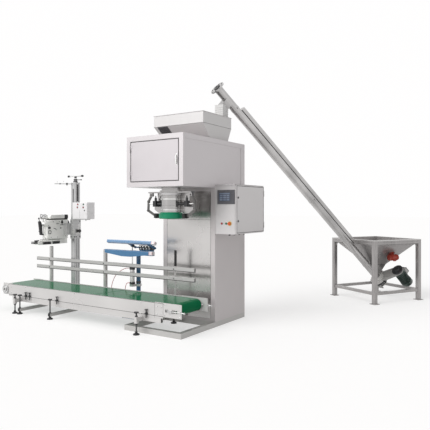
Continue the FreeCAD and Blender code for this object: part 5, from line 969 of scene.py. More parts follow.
for side in (-1, 1):
    turn.ball((SEW_X + side * 0.150, SEW_Y, 1.965), 0.0165, 24)
    turn.turned([(0.0085, 0), (0.0125, 0.002), (0.0125, 0.012), (0.0085, 0.014)],
                (SEW_X + side * 0.121, SEW_Y, 1.965), (side, 0, 0), 20, ring=True)
turn.turned([(0.0105, 0), (0.019, 0.001), (0.019, 0.020), (0.016, 0.024), (0.0105, 0.024)],
            (SEW_X, SEW_Y, 1.936),
            (0, 0, 1), 28, ring=True)
piece("lead_screw_handle_trim", turn, "black_metal", "lead_screw")
THREAD_START, THREAD_END = Vector((SEW_X, SEW_Y, 1.850)), Vector((-2.200, -0.318, 1.850))
reach = (THREAD_END - THREAD_START).normalized()
guides = Form()
guides.turned([(0.0062, 0), (0.015, 0.001), (0.015, 0.022), (0.012, 0.025), (0.0062, 0.025)],
              THREAD_START + reach * 0.110, reach, 20, ring=True)
guides.bar(THREAD_START + reach * 0.122 - Vector((0, 0, 0.014)),
           THREAD_START + reach * 0.122 - Vector((0, 0, 0.030)), 0.004)
guides.turned([(0.0062, 0), (0.012, 0.001), (0.012, 0.012), (0.0062, 0.013)], THREAD_START + reach * 0.215,
              reach, 20,
              ring=True)
piece("thread_arm_clamps", guides, "black_metal", "machine")
wires = Form()
for share in (0.17, 0.26):
    spot = THREAD_START + reach * share
    wires.sweep([spot, spot + Vector((0, 0, 0.020)), spot + Vector((0.006, 0, 0.034)),
                 spot + Vector((0, 0, 0.044)),
                 spot + Vector((-0.006, 0, 0.036)), spot + Vector((-0.001, 0, 0.026))], 0.0016, 8)
piece("thread_eyes", wires, "bright_steel", "machine")
leg_caps = Form()
for side in (-1, 1):
    x = SEW_X + side * 0.319
    for y, way in ((-0.840, -1), (-0.035, 1)):
        leg_caps.block((x - 0.0195, min(y, y + way * 0.004), 0.0405),
                       (x + 0.0195, max(y, y + way * 0.004), 0.0795))
piece("sewing_leg_caps", leg_caps, "black_rubber", "machine", bevel=0.001)

# Carriage and white switch box of the sewing column
CARRIAGE_LOW, CARRIAGE_TOP = 1.036, 1.322
OUT = 0.0533
trim = Form()
for x in (-0.036, 0.036):
    for z in (CARRIAGE_LOW + 0.030, CARRIAGE_TOP - 0.030):
        trim.bolt((SEW_X + x, SEW_Y - OUT, z), (0, -1, 0), 0.007, 0.007)
        trim.bolt((SEW_X + OUT, SEW_Y + x, z), (1, 0, 0), 0.007, 0.007)
piece("carriage_bolts", trim, "dark_steel", "sewing_carriage")
plates = Form()
plates.block((SEW_X - 0.040, SEW_Y - OUT - 0.004, 1.100), (SEW_X + 0.040, SEW_Y - OUT, 1.250))
plates.block((SEW_X + OUT, SEW_Y - 0.040, 1.100), (SEW_X + OUT + 0.004, SEW_Y + 0.040, 1.250))
piece("carriage_gib_plates", plates, "bright_steel", "sewing_carriage", bevel=0.0012)
knob = Form()
knob.bar((SEW_X + OUT + 0.004, SEW_Y, 1.150), (SEW_X + OUT + 0.026, SEW_Y, 1.150), 0.008)
toothed(knob, 0.020, 0.026, 0.0, 0.018, 7, (SEW_X + OUT + 0.026, SEW_Y, 1.150), (1, 0, 0), 0.55)
piece("carriage_knob", knob, "black_metal", "sewing_carriage", bevel=0.002)
BOX_FRONT, BOX_LEFT, BOX_LOW = -0.220, -1.925, 1.330
front = Form()
front.block((BOX_LEFT + 0.006, BOX_FRONT - 0.004, BOX_LOW + 0.006),
            (BOX_LEFT + 0.302, BOX_FRONT, BOX_LOW + 0.235))
piece("switch_box_lid", front, "white_paint", "sewing_carriage", bevel=0.0025, segments=3)
lines = Form()
lines.block((BOX_LEFT + 0.1535, BOX_FRONT - 0.0044, BOX_LOW + 0.010),
            (BOX_LEFT + 0.1555, BOX_FRONT - 0.0036, BOX_LOW + 0.125))
lock_x, lock_z = -1.670, 1.455
lines.turned([(0.0095, 0), (0.0095, 0.003), (0.007, 0.005), (0.0028, 0.005), (0.0028, 0.003)],
             (lock_x, BOX_FRONT - 0.004, lock_z), (0, -1, 0), 24)
piece("switch_box_lock", lines, "dark_gap_and_shade", "sewing_carriage")
rings = Form()
for x, z in ((-1.810, 1.543), (-1.818, 1.500), (-1.693, 1.543), (-1.697, 1.500)):
    rings.turned([(0.0104, 0), (0.0142, 0), (0.0142, 0.0008), (0.0130, 0.0016), (0.0104, 0.0016)],
                 (x, BOX_FRONT - 0.0040, z), (0, -1, 0), 36, ring=True)
piece("switch_box_collars", rings, "dark_steel", "sewing_carriage")
gland = Form()
for x in (-1.86, -1.72):
    gland.turned([(0.012, 0), (0.012, 0.007), (0.009, 0.009), (0.009, 0.018), (0.006, 0.021)],
                 (x, -0.150, BOX_LOW),
                 (0, 0, -1), 6)
piece("switch_box_glands", gland, "black_metal", "sewing_carriage")

# Sewing head: a cast body with its nose, cover, guides, lever and bed
HEAD_X, HEAD_HALF = -2.200, 0.070
TENSION_Z, PLATE_LOW, PLATE_HIGH = 1.341, 1.0293, 1.0312
SIDE = HEAD_X + HEAD_HALF
WHEEL_FACE = (HEAD_X, -0.1195, 1.255)


def yz(points, x):
    """Outline points of the YZ plane at a given X."""
    return [(x, y, z) for y, z in points]


casting = Form()
casting.prism(yz([(-0.122, 1.036), (-0.122, 1.300), (-0.136, 1.318), (-0.440, 1.318), (-0.478, 1.309),
                  (-0.520, 1.290),
                  (-0.556, 1.268), (-0.562, 1.240), (-0.548, 1.230), (-0.505, 1.224), (-0.498,
                                                                                       1.190), (-0.502,
                                                                                                1.120),
                  (-0.486, 1.062), (-0.470, 1.036)], HEAD_X - HEAD_HALF), (2 * HEAD_HALF, 0, 0))
piece("head_casting", casting, "cream_paint", "sewing_carriage", ("sewing_head",),
      bevel=0.010, segments=4)
raised = Form()
raised.prism(yz([(-0.135, 1.060), (-0.135, 1.240), (-0.190, 1.240), (-0.190, 1.060)], SIDE - 0.001),
             (0.006, 0, 0))
raised.prism(yz([(-0.300, 1.050), (-0.300, 1.110), (-0.360, 1.165), (-0.440, 1.165), (-0.455, 1.050)],
                SIDE - 0.001),
             (0.004, 0, 0))
piece("head_side_pads", raised, "cream_paint", "sewing_carriage", bevel=0.003, segments=3)
rib = Form().sweep(yz([(-0.420, 1.202), (-0.395, 1.206), (-0.367, 1.200), (-0.345, 1.184), (-0.332, 1.160)],
                      SIDE),
                   0.0065, 12)
rib.sweep(yz([(-0.500, 1.252), (-0.470, 1.262), (-0.430, 1.264), (-0.380, 1.260)], SIDE), 0.005, 12)
piece("head_ribs", rib, "cream_paint", "sewing_carriage")
cover = Form().prism(yz([(-0.440, 1.336), (-0.440, 1.376), (-0.428, 1.390), (-0.180, 1.394),
                         (-0.180, 1.336)],
                        HEAD_X - 0.062), (0.124, 0, 0))
piece("head_cover", cover, "cream_paint", "sewing_carriage", bevel=0.006, segments=4)
block = Form().prism(yz([(-0.1805, 1.334), (-0.1805, 1.393), (-0.128, 1.393), (-0.117, 1.382),
                         (-0.117, 1.334)],
                        HEAD_X - 0.064), (0.128, 0, 0))
piece("head_cover_end", block, "black_metal", "sewing_carriage", bevel=0.003, segments=3)
under = Form().block((HEAD_X - 0.052, -0.425, 1.317), (HEAD_X + 0.060, -0.122, 1.337))
piece("head_cover_seal", under, "black_rubber", "sewing_carriage", bevel=0.0015)
spots = Form()
for y, z, r in ((-0.238, 1.278, 0.0200), (-0.238, 1.296, 0.0150), (-0.262, 1.196, 0.0100),
                (-0.330, 1.262, 0.0080),
                (-0.300, 1.262, 0.0060)):
    spots.turned([(r, -0.001), (r, 0.003), (r * 0.8, 0.0045), (r * 0.4, 0.0045), (r * 0.4, 0.003)],
                 (SIDE, y, z),
                 (1, 0, 0), 24)
spots.block((SIDE - 0.001, -0.268, 1.238), (SIDE + 0.003, -0.214, 1.247))
spots.sweep(yz([(-0.392, 1.196), (-0.365, 1.190), (-0.345, 1.176), (-0.334, 1.160)], SIDE), 0.0045, 12)
piece("head_plugs_and_seam", spots, "black_metal", "sewing_carriage")
screws = Form()
for y, z in ((-0.146, 1.075), (-0.146, 1.225), (-0.180, 1.075), (-0.180, 1.225), (-0.320, 1.065),
             (-0.440, 1.065),
             (-0.400, 1.290), (-0.290, 1.290), (-0.480, 1.240)):
    socket_screw(screws, (SIDE + (0.004 if y > -0.19 else 0.002), y, z), (1, 0, 0), 0.0052, 0.004)
screws.turned([(0.020, -0.001), (0.0275, -0.001), (0.0275, 0.005), (0.0255, 0.007), (0.022, 0.007),
               (0.020, 0.005)],
              (SIDE, -0.462, 1.140), (1, 0, 0), 40, ring=True)
for k in range(3):
    screws.turned([(0.0035, 0.0), (0.0170, 0.001), (0.0185, 0.0035), (0.0170, 0.006), (0.0035, 0.007)],
                  (SIDE + 0.002 + 0.008 * k, -0.478, 1.205), (1, 0, 0), 28)
screws.bar((SIDE, -0.478, 1.205), (SIDE + 0.034, -0.478, 1.205), 0.0035)
piece("head_screws", screws, "dark_steel", "sewing_carriage")
guide = Form()
guide.block((HEAD_X + 0.018, -0.585, 1.330), (HEAD_X + 0.022, -0.470, 1.352))
guide.block((HEAD_X + 0.018, -0.500, 1.310), (HEAD_X + 0.022, -0.480, 1.335))
for y in (-0.575, -0.540, -0.505):
    guide.bar((HEAD_X + 0.010, y, TENSION_Z), (HEAD_X + 0.052, y, TENSION_Z), 0.003)
    for x in (0.026, 0.036):
        guide.turned([(0.003, 0), (0.013, 0.0006), (0.0145, 0.003), (0.013, 0.0052), (0.003, 0.006)],
                     (HEAD_X + x, y, TENSION_Z), (1, 0, 0), 28)
piece("thread_tension", guide, "bright_steel", "sewing_carriage", bevel=0.0006)
loops = Form()
HOOK = ((0.022, -0.002, -0.018), (0.030, -0.006, -0.003), (0.040, 0.0, 0.0), (0.044, 0.010, -0.010),
        (0.036, 0.014, -0.022))
for y, top in ((-0.585, 1.402), (-0.555, 1.396), (-0.520, 1.400), (-0.492, 1.388)):
    points = [(HEAD_X + 0.020, y, 1.345)]
    points += [(HEAD_X + dx, y + dy, top + dz) for dx, dy, dz in HOOK]
    loops.sweep(points, 0.0036, 8)
loops.sweep(yz([(-0.600, 1.352), (-0.560, 1.376), (-0.500, 1.372), (-0.462, 1.330)], HEAD_X + 0.044),
            0.0036, 8)
piece("thread_hooks", loops, "dark_steel", "sewing_carriage")
lever = Form()
lever.prism(yz([(-0.650, 1.300), (-0.618, 1.304), (-0.596, 1.260), (-0.588, 1.130), (-0.560, 1.108),
                (-0.566, 1.100), (-0.622, 1.106), (-0.636, 1.200)], HEAD_X + 0.046), (0.024, 0, 0))
lever.block((HEAD_X + 0.040, -0.632, 1.150), (HEAD_X + 0.073, -0.608, 1.166))
lever.block((HEAD_X + 0.044, -0.625, 1.240), (HEAD_X + 0.062, -0.545, 1.258))
lever.bar((HEAD_X + 0.057, -0.632, 1.300), (HEAD_X + 0.057, -0.639, 1.332), 0.005)
lever.ball((HEAD_X + 0.057, -0.641, 1.342), 0.0125, 20)
piece("head_lever", lever, "black_metal", "sewing_carriage", bevel=0.002)
foot = Form()
foot.block((HEAD_X - 0.022, -0.560, 1.0335), (HEAD_X - 0.013, -0.490, 1.0395))
foot.block((HEAD_X + 0.013, -0.560, 1.0335), (HEAD_X + 0.022, -0.490, 1.0395))
foot.block((HEAD_X - 0.022, -0.500, 1.0335), (HEAD_X + 0.022, -0.488, 1.048))
foot.bar((HEAD_X - 0.030, -0.4995, 1.040), (HEAD_X - 0.030, -0.4995, 1.215), 0.005)
piece("presser_foot", foot, "bright_steel", "sewing_carriage", bevel=0.001)
bed = Form()
bed.prism(yz([(-0.121, 0.964), (-0.121, 1.0295), (-0.590, 1.0295), (-0.620, 1.022), (-0.646, 1.014),
              (-0.646, 0.978),
              (-0.620, 0.966), (-0.420, 0.962)], HEAD_X - 0.052), (0.104, 0, 0))
piece("head_bed", bed, "cream_paint", "sewing_carriage", ("throat_plate",), bevel=0.005,
      segments=4)
riser = Form().block((HEAD_X - 0.050, -0.210, 1.025), (HEAD_X + 0.050, -0.124, 1.040))
piece("head_bed_riser", riser, "cream_paint", "sewing_carriage", bevel=0.002)
feed = Form()
for y0, y1 in ((-0.563, -0.435), (-0.394, -0.275)):
    feed.block((HEAD_X + 0.050, y0, 0.966), (HEAD_X + 0.068, y1, 1.004))
    count = int((y1 - y0) / 0.016)
    for k in range(count):
        y = y0 + 0.006 + k * 0.016
        feed.block((HEAD_X + 0.068, y, 0.970), (HEAD_X + 0.073, y + 0.009, 1.000))
for z in (0.9815, 1.0005):
    feed.block((HEAD_X - 0.034, -0.704, z), (HEAD_X + 0.036, -0.640, z + 0.0115))
feed.block((HEAD_X - 0.020, -0.660, 1.000), (HEAD_X + 0.030, -0.612, 1.0305))
piece("feed_blocks", feed, "black_metal", "sewing_carriage", bevel=0.0015)
plate = Form()
plate.block((HEAD_X - 0.040, -0.590, PLATE_LOW), (HEAD_X - 0.016, -0.470, PLATE_HIGH))
plate.block((HEAD_X + 0.016, -0.590, PLATE_LOW), (HEAD_X + 0.040, -0.470, PLATE_HIGH))
plate.block((HEAD_X - 0.016, -0.590, PLATE_LOW), (HEAD_X + 0.016, -0.535, PLATE_HIGH))
for x in (-0.034, 0.034):
    for y in (-0.578, -0.482):
        socket_screw(plate, (HEAD_X + x, y, 1.0310), (0, 0, 1), 0.0035, 0.0012)
piece("needle_plate", plate, "bright_steel", "sewing_carriage")
rim = Form()
toothed(rim, 0.0580, 0.0600, 0.006, 0.028, 40, WHEEL_FACE, (0, 1, 0))
rim.turned([(0.0095, 0.0343), (0.020, 0.0343), (0.018, 0.040), (0.0095, 0.040)], WHEEL_FACE, (0, 1, 0), 32,
           ring=True)
piece("handwheel_knurl", rim, "black_metal", "handwheel")
clamp = Form()
clamp.turned([(0.0092, 0), (0.0125, 0.0005), (0.0125, 0.011), (0.0092, 0.0115)], (HEAD_X, -0.520, 1.130),
             (0, 0, 1), 24,
             ring=True)
clamp.bar((HEAD_X + 0.011, -0.520, 1.1355), (HEAD_X + 0.018, -0.520, 1.1355), 0.0028)
piece("needle_clamp", clamp, "bright_steel", "needle_bar")

# Bag sealer
JAW_RIGHT = -0.387
HINGE = Vector((0, -0.090, 0.955))
OPEN = Matrix.Translation(HINGE) @ Matrix.Rotation(math.radians(-24), 4, "X") @ Matrix.Translation(-HINGE)
for body, axes, x0, y0, y1, z0, z1, name in (
        ("machine", None, JAW_RIGHT, -0.3255, -0.2745, 0.8835, 0.9302, "lower"),
        ("upper_jaw", OPEN, JAW_RIGHT + 0.022, -0.3228, -0.2772, 0.9305, 0.9697, "upper")):
    x1 = x0 + 0.0592
    cap = Form(axes).block((x0, y0, z0), (x1, y1, z1))
    piece(name + "_jaw_cap", cap, "white_paint", body, bevel=0.002, segments=3)
    mark = Form(axes)
    for x in (x0 + 0.002, x0 + 0.050):
        mark.block((x, y0 - 0.0010, z0 + 0.001), (x + 0.008, y1 + 0.0010, z1 - 0.001))
    border(mark, (x0 + 0.014, z0 + 0.006), (x0 + 0.046, z1 - 0.006), 0.004, y0 - 0.0010, y0)
    mark.block((x1 - 0.001, y0 + 0.006, z0 + 0.008), (x1 + 0.0012, y0 + 0.011, z1 - 0.008))
    mark.block((x1 - 0.001, y1 - 0.011, z0 + 0.008), (x1 + 0.0012, y1 - 0.006, z1 - 0.008))
    piece(name + "_jaw_marks", mark, "cap_pink", body, bevel=0.0006)
# Paler blue strips along the jaws' top edges and tops: painted highlight where the light falls on them.
edge = Form().block((-1.167, -0.3262, 0.9180), (JAW_RIGHT, -0.3250, 0.9300))
edge.block((-1.167, -0.3262, 0.9255), (JAW_RIGHT, -0.2738, 0.9306))
piece("lower_jaw_top_highlight", edge, "sealer_blue_highlight", "machine", bevel=0.0015)
edge = Form(OPEN).block((-1.145, -0.3228, 0.9560), (JAW_RIGHT + 0.022, -0.3218, 0.9692))
edge.block((-1.145, -0.3228, 0.9688), (JAW_RIGHT + 0.022, -0.2772, 0.9698))
piece("upper_jaw_top_highlight", edge, "sealer_blue_highlight", "upper_jaw", bevel=0.0004)
end = Form(OPEN)
for y in (-0.312, -0.288):
    socket_screw(end, (-1.145, y, 0.950), (-1, 0, 0), 0.0045, 0.004)
piece("upper_jaw_screws", end, "bright_steel", "upper_jaw")
unit = Form()
unit.bar((-0.726, -0.1250, 0.968), (-0.512, -0.1250, 0.968), 0.0070, 20)
for x in (-0.715, -0.521):
    for z in (0.938, 0.972):
        unit.bolt((x, -0.118, z), (0, -1, 0), 0.0055, 0.005)
piece("hinge_unit_front", unit, "black_metal", "machine", bevel=0.0006)
pins = Form()
for x in (-0.706, -0.656, -0.606, -0.556):
    pins.turned([(0.0072, 0), (0.0120, 0.001), (0.0120, 0.015), (0.0072, 0.016)], (x, -0.1250, 0.968),
                (1, 0, 0), 24,
                ring=True)
    pins.block((x - 0.004, -0.1205, 0.930), (x + 0.020, -0.1175, 0.952))
for x, way in ((-0.732, -1), (-0.504, 1)):
    pins.turned([(0.0105, 0), (0.018, 0), (0.018, 0.004), (0.015, 0.006), (0.0105, 0.006)],
                (x, -0.090, 0.955),
                (way, 0, 0), 28, ring=True)
piece("hinge_collars", pins, "bright_steel", "machine")
fork = Form(OPEN)
for x in (-0.8375, -0.8115):
    fork.block((x - 0.0015, -0.168, 0.938), (x + 0.0065, -0.132, 0.974))
fork.bar((-0.841, -0.150, 0.957), (-0.801, -0.150, 0.957), 0.0055)
for x in (-0.822, -0.480):
    fork.turned([(0.0135, -0.0105), (0.0155, -0.0105), (0.0155, 0.0105), (0.0135, 0.0105)],
                (x, -0.090, 0.955),
                (1, 0, 0), 32, ring=True)
piece("lever_forks", fork, "black_metal", "upper_jaw", bevel=0.0012)
CYL_X, CYL_Y = -0.822, -0.150
caps = Form()
for z0, z1 in ((0.4545, 0.4860), (0.6545, 0.6860)):
    caps.block((CYL_X - 0.0272, CYL_Y - 0.0272, z0), (CYL_X + 0.0272, CYL_Y + 0.0272, z1))
for x in (-0.019, 0.019):
    for y in (-0.019, 0.019):
        socket_screw(caps, (CYL_X + x, CYL_Y + y, 0.6855), (0, 0, 1), 0.0045, 0.004)
piece("cylinder_caps", caps, "black_metal", "machine", bevel=0.003, segments=3)
cone_top = Form()
cone_top.turned([(0.0085, 0.0), (0.024, 0.0), (0.022, 0.010), (0.014, 0.020), (0.0125, 0.030),
                 (0.0085, 0.030)],
                (CYL_X, CYL_Y, 0.6862), (0, 0, 1), 32, ring=True)
piece("cylinder_gland", cone_top, "black_metal", "machine")
tie = Form()
for x in (-0.021, 0.021):
    for y in (-0.021, 0.021):
        tie.bar((CYL_X + x, CYL_Y + y, 0.484), (CYL_X + x, CYL_Y + y, 0.657), 0.003, 12)
piece("cylinder_tie_rods", tie, "bright_steel", "machine")
fit = Form()
for z in (0.470, 0.670):
    fit.turned([(0.0062, 0), (0.0105, 0), (0.0105, 0.008), (0.0085, 0.0095), (0.0062, 0.0095)],
               (CYL_X - 0.0262, CYL_Y, z), (-1, 0, 0), 6, ring=True)
for y in (-0.075, -0.045):
    fit.turned([(0.0062, 0), (0.0100, 0), (0.0100, 0.008), (0.0080, 0.0095), (0.0062, 0.0095)],
               (-0.935, y, 0.050),
               (-1, 0, 0), 6, ring=True)
piece("hose_fittings", fit, "brass", "machine")
ring = Form()
ring.turned([(0.0302, 0), (0.0340, 0.001), (0.0340, 0.029), (0.0302, 0.030)], (-0.790, -0.060, 0.4620),
            (0, 0, 1), 40,
            ring=True)
ring.turned([(0.0302, 0), (0.0420, 0.000), (0.0420, 0.006), (0.0380, 0.009), (0.0302, 0.009)],
            (-0.790, -0.060, 0.012),
            (0, 0, 1), 40, ring=True)
for x in (-0.135, 0.135):
    for y in (-0.135, 0.135):
        ring.bolt((-0.790 + x, -0.060 + y, 0.012), (0, 0, 1), 0.010, 0.010)
piece("sealer_post_trim", ring, "dark_steel", "machine")
valve = Form().block((-0.932, -0.0905, 0.0150), (-0.828, -0.0295, 0.0830))
piece("valve_body_cover", valve, "black_metal", "machine", bevel=0.004, segments=3)
coil = Form().block((-0.915, -0.083, 0.083), (-0.880, -0.037, 0.118)).block((-0.905, -0.075, 0.118),
                                                                            (-0.890, -0.045, 0.128))
piece("valve_coil", coil, "gear_dark", "machine", bevel=0.003, segments=3)

# Feeder: trough drive, motor, vibrator and screw tube
STAND = Matrix.Translation(Vector((1.5067, 3.2486, 0))) @ Matrix.Rotation(math.radians(59.53), 4, "Z")
TUBE = (Matrix.Translation(Vector((1.5067, 3.2486, 0.370))) @ Matrix.Rotation(math.radians(246.85), 4, "Z")
        @ Matrix.Rotation(math.radians(-40.32), 4, "Y"))
LOW_R, TOP_R, OFF_Y, OFF_Z = 0.118, 0.104, 0.300, 0.190
FACE, BACK = -0.026, -0.110


def drive_outline(x, grow):
    """The outline round both discs of the drive case, as one closed hull."""
    reach = math.hypot(OFF_Y, OFF_Z)
    lean = math.atan2(OFF_Z, OFF_Y)
    tip = math.acos((LOW_R - TOP_R) / reach)
    points = []
    for k in range(25):
        angle = lean + tip + (2 * math.pi - 2 * tip) * k / 24
        points.append((x, (LOW_R + grow) * math.cos(angle), (LOW_R + grow) * math.sin(angle)))
    for k in range(25):
        angle = lean - tip + 2 * tip * k / 24
        points.append((x, OFF_Y + (TOP_R + grow) * math.cos(angle),
                       OFF_Z + (TOP_R + grow) * math.sin(angle)))
    return points


case = Form(TUBE)
case.skin([drive_outline(BACK + 0.002, -0.026), drive_outline(BACK + 0.006, -0.020),
           drive_outline(BACK + 0.040, -0.020), drive_outline(BACK + 0.044, -0.026)])
piece("drive_case", case, "drive_grey", "machine", ("gearmotor",))
rings = Form(TUBE)
steps = ((0.130, 0.028), (0.120, 0.044), (0.108, 0.060), (0.094, 0.076))
for r, x in steps:
    rings.turned([(0.058, -0.012), (r - 0.003, -0.012), (r, -0.010), (r, -0.002), (r - 0.004, 0.0),
                  (0.058, 0.0)],
                 (BACK + x, 0, 0), (1, 0, 0), 48, ring=True)
rings.turned([(0.0572, -0.004), (0.071, -0.004), (0.071, 0.006), (0.067, 0.010), (0.0572, 0.010)],
             (FACE, 0, 0),
             (1, 0, 0), 48, ring=True)
piece("drive_rings", rings, "drive_pale", "machine")
core = Form(TUBE)
core.turned([(0.058, 0.0), (0.120, 0.0), (0.112, 0.030), (0.090, 0.062), (0.058, 0.076)],
            (BACK + 0.004, 0, 0),
            (1, 0, 0), 48, ring=True)
piece("drive_grooves", core, "gear_dark", "machine")
blades = Form(TUBE)
for k in range(18):
    angle = 2 * math.pi * k / 18
    bend = 0.16
    low_r, high_r = 0.064, 0.124
    points = []
    for r, turn, x in ((low_r, 0.0, FACE - 0.004), (0.096, bend * 0.5, FACE - 0.018),
                       (high_r, bend, FACE - 0.048)):
        points.append((x, r * math.cos(angle + turn), r * math.sin(angle + turn)))
    blades.sweep(points, 0.0038, 8)
piece("drive_blades", blades, "drive_pale", "machine")
flange = Form(TUBE)
flange.turned([(0.020, -0.002), (0.090, -0.002), (0.092, 0.002), (0.092, 0.018), (0.080, 0.024),
               (0.040, 0.026),
               (0.030, 0.046), (0.012, 0.050)], (BACK + 0.036, OFF_Y, OFF_Z), (1, 0, 0), 40)
ring_of(flange, 6, 0.080, (BACK + 0.054, OFF_Y, OFF_Z), (1, 0, 0), 0.006, 0.007)
piece("motor_flange", flange, "black_metal", "machine")
bracket = Form(TUBE)
bracket.block((FACE - 0.004, 0.022, 0.060), (FACE + 0.006, 0.082, 0.120))
piece("tube_foot_bracket", bracket, "drive_pale", "machine", bevel=0.003)
eye = Form(TUBE).turned([(0.016, -0.001), (0.016, 0.003), (0.010, 0.006), (0.004, 0.006)],
                        (FACE + 0.006, 0.052, 0.090),
                        (1, 0, 0), 24)
piece("tube_foot_bolt", eye, "black_metal", "machine")
gear = Form(TUBE)
gear.turned([(0.092, 0.0), (0.098, 0.004), (0.098, 0.020), (0.090, 0.024), (0.090, 0.036), (0.098, 0.040),
             (0.098, 0.056), (0.090, 0.060), (0.090, 0.072), (0.098, 0.076), (0.098, 0.094), (0.086, 0.104),
             (0.050, 0.105), (0.046, 0.112), (0.020, 0.112)], (BACK, 0, 0), (-1, 0, 0), 48)
piece("gear_case", gear, "drive_pale", "machine")
teeth = Form(TUBE)
toothed(teeth, 0.1240, 0.1440, -0.018, 0.010, 22, (BACK, 0, 0), (-1, 0, 0), 0.55)
teeth.turned([(0.060, -0.014), (0.132, -0.014), (0.132, 0.006), (0.060, 0.006)], (BACK, 0, 0), (-1, 0, 0),
             48,
             ring=True)
toothed(teeth, 0.0960, 0.1015, 0.022, 0.034, 20, (BACK, 0, 0), (-1, 0, 0), 0.5)
toothed(teeth, 0.0960, 0.1015, 0.058, 0.074, 20, (BACK, 0, 0), (-1, 0, 0), 0.5)
piece("drive_teeth", teeth, "black_metal", "machine", bevel=0.0008)
motor = Form(TUBE)
toothed(motor, 0.0790, 0.0880, 0.022, 0.236, 36, (BACK, OFF_Y, OFF_Z), (-1, 0, 0), 0.34)
motor.turned([(0.078, 0.0), (0.086, 0.002), (0.088, 0.008), (0.088, 0.024), (0.078, 0.026)],
             (BACK, OFF_Y, OFF_Z),
             (-1, 0, 0), 48)
piece("motor_body", motor, "motor_green", "machine")
cowl = Form(TUBE)
cowl.turned([(0.0895, 0.236), (0.093, 0.238), (0.093, 0.296), (0.088, 0.306), (0.074, 0.310),
             (0.020, 0.310)],
            (BACK, OFF_Y, OFF_Z), (-1, 0, 0), 48)
piece("motor_cowl", cowl, "motor_green", "machine")
rim = Form(TUBE)
rim.turned([(0.0885, 0.294), (0.0940, 0.296), (0.0940, 0.303), (0.0885, 0.308)], (BACK, OFF_Y, OFF_Z),
           (-1, 0, 0), 48,
           ring=True)
piece("motor_cowl_rim", rim, "drive_pale", "machine")
grille = Form(TUBE)
for k in range(5):
    r = 0.018 + 0.012 * k
    grille.turned([(r, 0.3095), (r + 0.005, 0.3095), (r + 0.005, 0.3112), (r, 0.3112)],
                  (BACK, OFF_Y, OFF_Z),
                  (-1, 0, 0), 36, ring=True)
piece("motor_grille", grille, "black_metal", "machine")
box_low = OFF_Z + 0.076
terminal = Form(TUBE).block((BACK - 0.156, OFF_Y - 0.048, box_low),
                            (BACK - 0.060, OFF_Y + 0.048, box_low + 0.066))
piece("terminal_box", terminal, "drive_pale", "machine", bevel=0.005, segments=3)
lid = Form(TUBE).block((BACK - 0.158, OFF_Y - 0.050, box_low + 0.050),
                       (BACK - 0.058, OFF_Y + 0.050, box_low + 0.0555))
for x in (-0.150, -0.066):
    for y in (-0.040, 0.040):
        socket_screw(lid, (BACK + x, OFF_Y + y, box_low + 0.066), (0, 0, 1), 0.005, 0.004)
lid.turned([(0.012, 0), (0.012, 0.008), (0.009, 0.010), (0.009, 0.022), (0.006, 0.025)],
           (BACK - 0.156, OFF_Y, box_low + 0.028), (-1, 0, 0), 6)
piece("terminal_box_trim", lid, "gear_dark", "machine", bevel=0.0006)
foot = Form(TUBE)
foot.block((BACK - 0.100, -0.090, -0.108), (BACK - 0.010, 0.090, -0.094))
foot.block((BACK - 0.080, -0.060, -0.096), (BACK - 0.060, 0.060, -0.080))
piece("gear_foot", foot, "drive_grey", "machine", bevel=0.003)

VIB_LENGTH, VIB_RADIUS = 0.150, 0.048
half_funnel, outlet = 0.440, 0.115
low, rim_low = 0.560, 0.912
slope = math.atan2(rim_low - low, half_funnel - outlet)
seat = Vector((0.060, -outlet - (half_funnel - outlet) * 0.5, low + (rim_low - low) * 0.5))
VIB = STAND @ Matrix.Translation(seat) @ Matrix.Rotation(math.pi - slope, 4, "X")
vib = Form(VIB)
axis_z = VIB_RADIUS + 0.020
vib.turned([(0.0475, -0.040), (0.0495, -0.038), (0.0495, 0.038), (0.0475, 0.040)], (0, 0, axis_z),
           (1, 0, 0), 40, ring=True)
for way in (-1, 1):
    for k in range(3):
        x = way * (0.046 + 0.009 * k)
        vib.turned([(0.0475, -0.002), (0.0505, -0.001), (0.0505, 0.001), (0.0475, 0.002)], (x, 0, axis_z),
                   (1, 0, 0), 40,
                   ring=True)
    vib.turned([(0.0415, 0.0), (0.0445, 0.001), (0.0445, 0.012), (0.038, 0.0165), (0.014, 0.0165)],
               (way * VIB_LENGTH / 2, 0, axis_z), (way, 0, 0), 40)
piece("vibrator_shell", vib, "vibrator_red", "machine")
hat = Form(VIB).block((-0.030, -0.020, axis_z + 0.044), (0.030, 0.020, axis_z + 0.066))
piece("vibrator_box", hat, "vibrator_red", "machine", bevel=0.004, segments=3)
hold = Form(VIB)
for x in (-0.036, 0.036):
    for y in (-0.044, 0.044):
        hold.bolt((x, y, 0.012), (0, 0, 1), 0.006, 0.007)
for way in (-1, 1):
    ring_of(hold, 4, 0.030, (way * (VIB_LENGTH / 2 + 0.0150), 0, axis_z), (way, 0, 0), 0.0038, 0.004)
piece("vibrator_bolts", hold, "dark_steel", "machine")

# Screw tube, its stiffening strip, end flange and duct
TOP = 4.190
flange = Form(TUBE)
ring_of(flange, 8, 0.084, (TOP, 0, 0), (1, 0, 0), 0.0070, 0.004, math.radians(22.5))
ring_of(flange, 8, 0.084, (TOP - 0.012, 0, 0), (-1, 0, 0), 0.0070, 0.004, math.radians(22.5))
flange.turned([(0.016, 0), (0.046, 0.000), (0.046, 0.010), (0.040, 0.014), (0.016, 0.014)], (TOP, 0, 0),
              (1, 0, 0), 40,
              ring=True)
piece("tube_flange_bolts", flange, "dark_steel", "machine")
bands = Form(TUBE)
for x in (0.300, 1.900, 3.790):
    bands.turned([(0.0568, 0), (0.0600, 0.001), (0.0600, 0.029), (0.0568, 0.030)], (x, 0, 0), (1, 0, 0), 48,
                 ring=True)
    bands.block((x + 0.003, 0.055, -0.006), (x + 0.027, 0.075, 0.006))
    bands.bolt((x + 0.015, 0.067, 0.006), (0, 0, 1), 0.005, 0.006)
piece("tube_bands", bands, "tube_steel", "machine", bevel=0.0006)
# Dark lines where the stiffening strip meets the tube, along its top edges and at its end: painted shade.
lines = Form(TUBE)
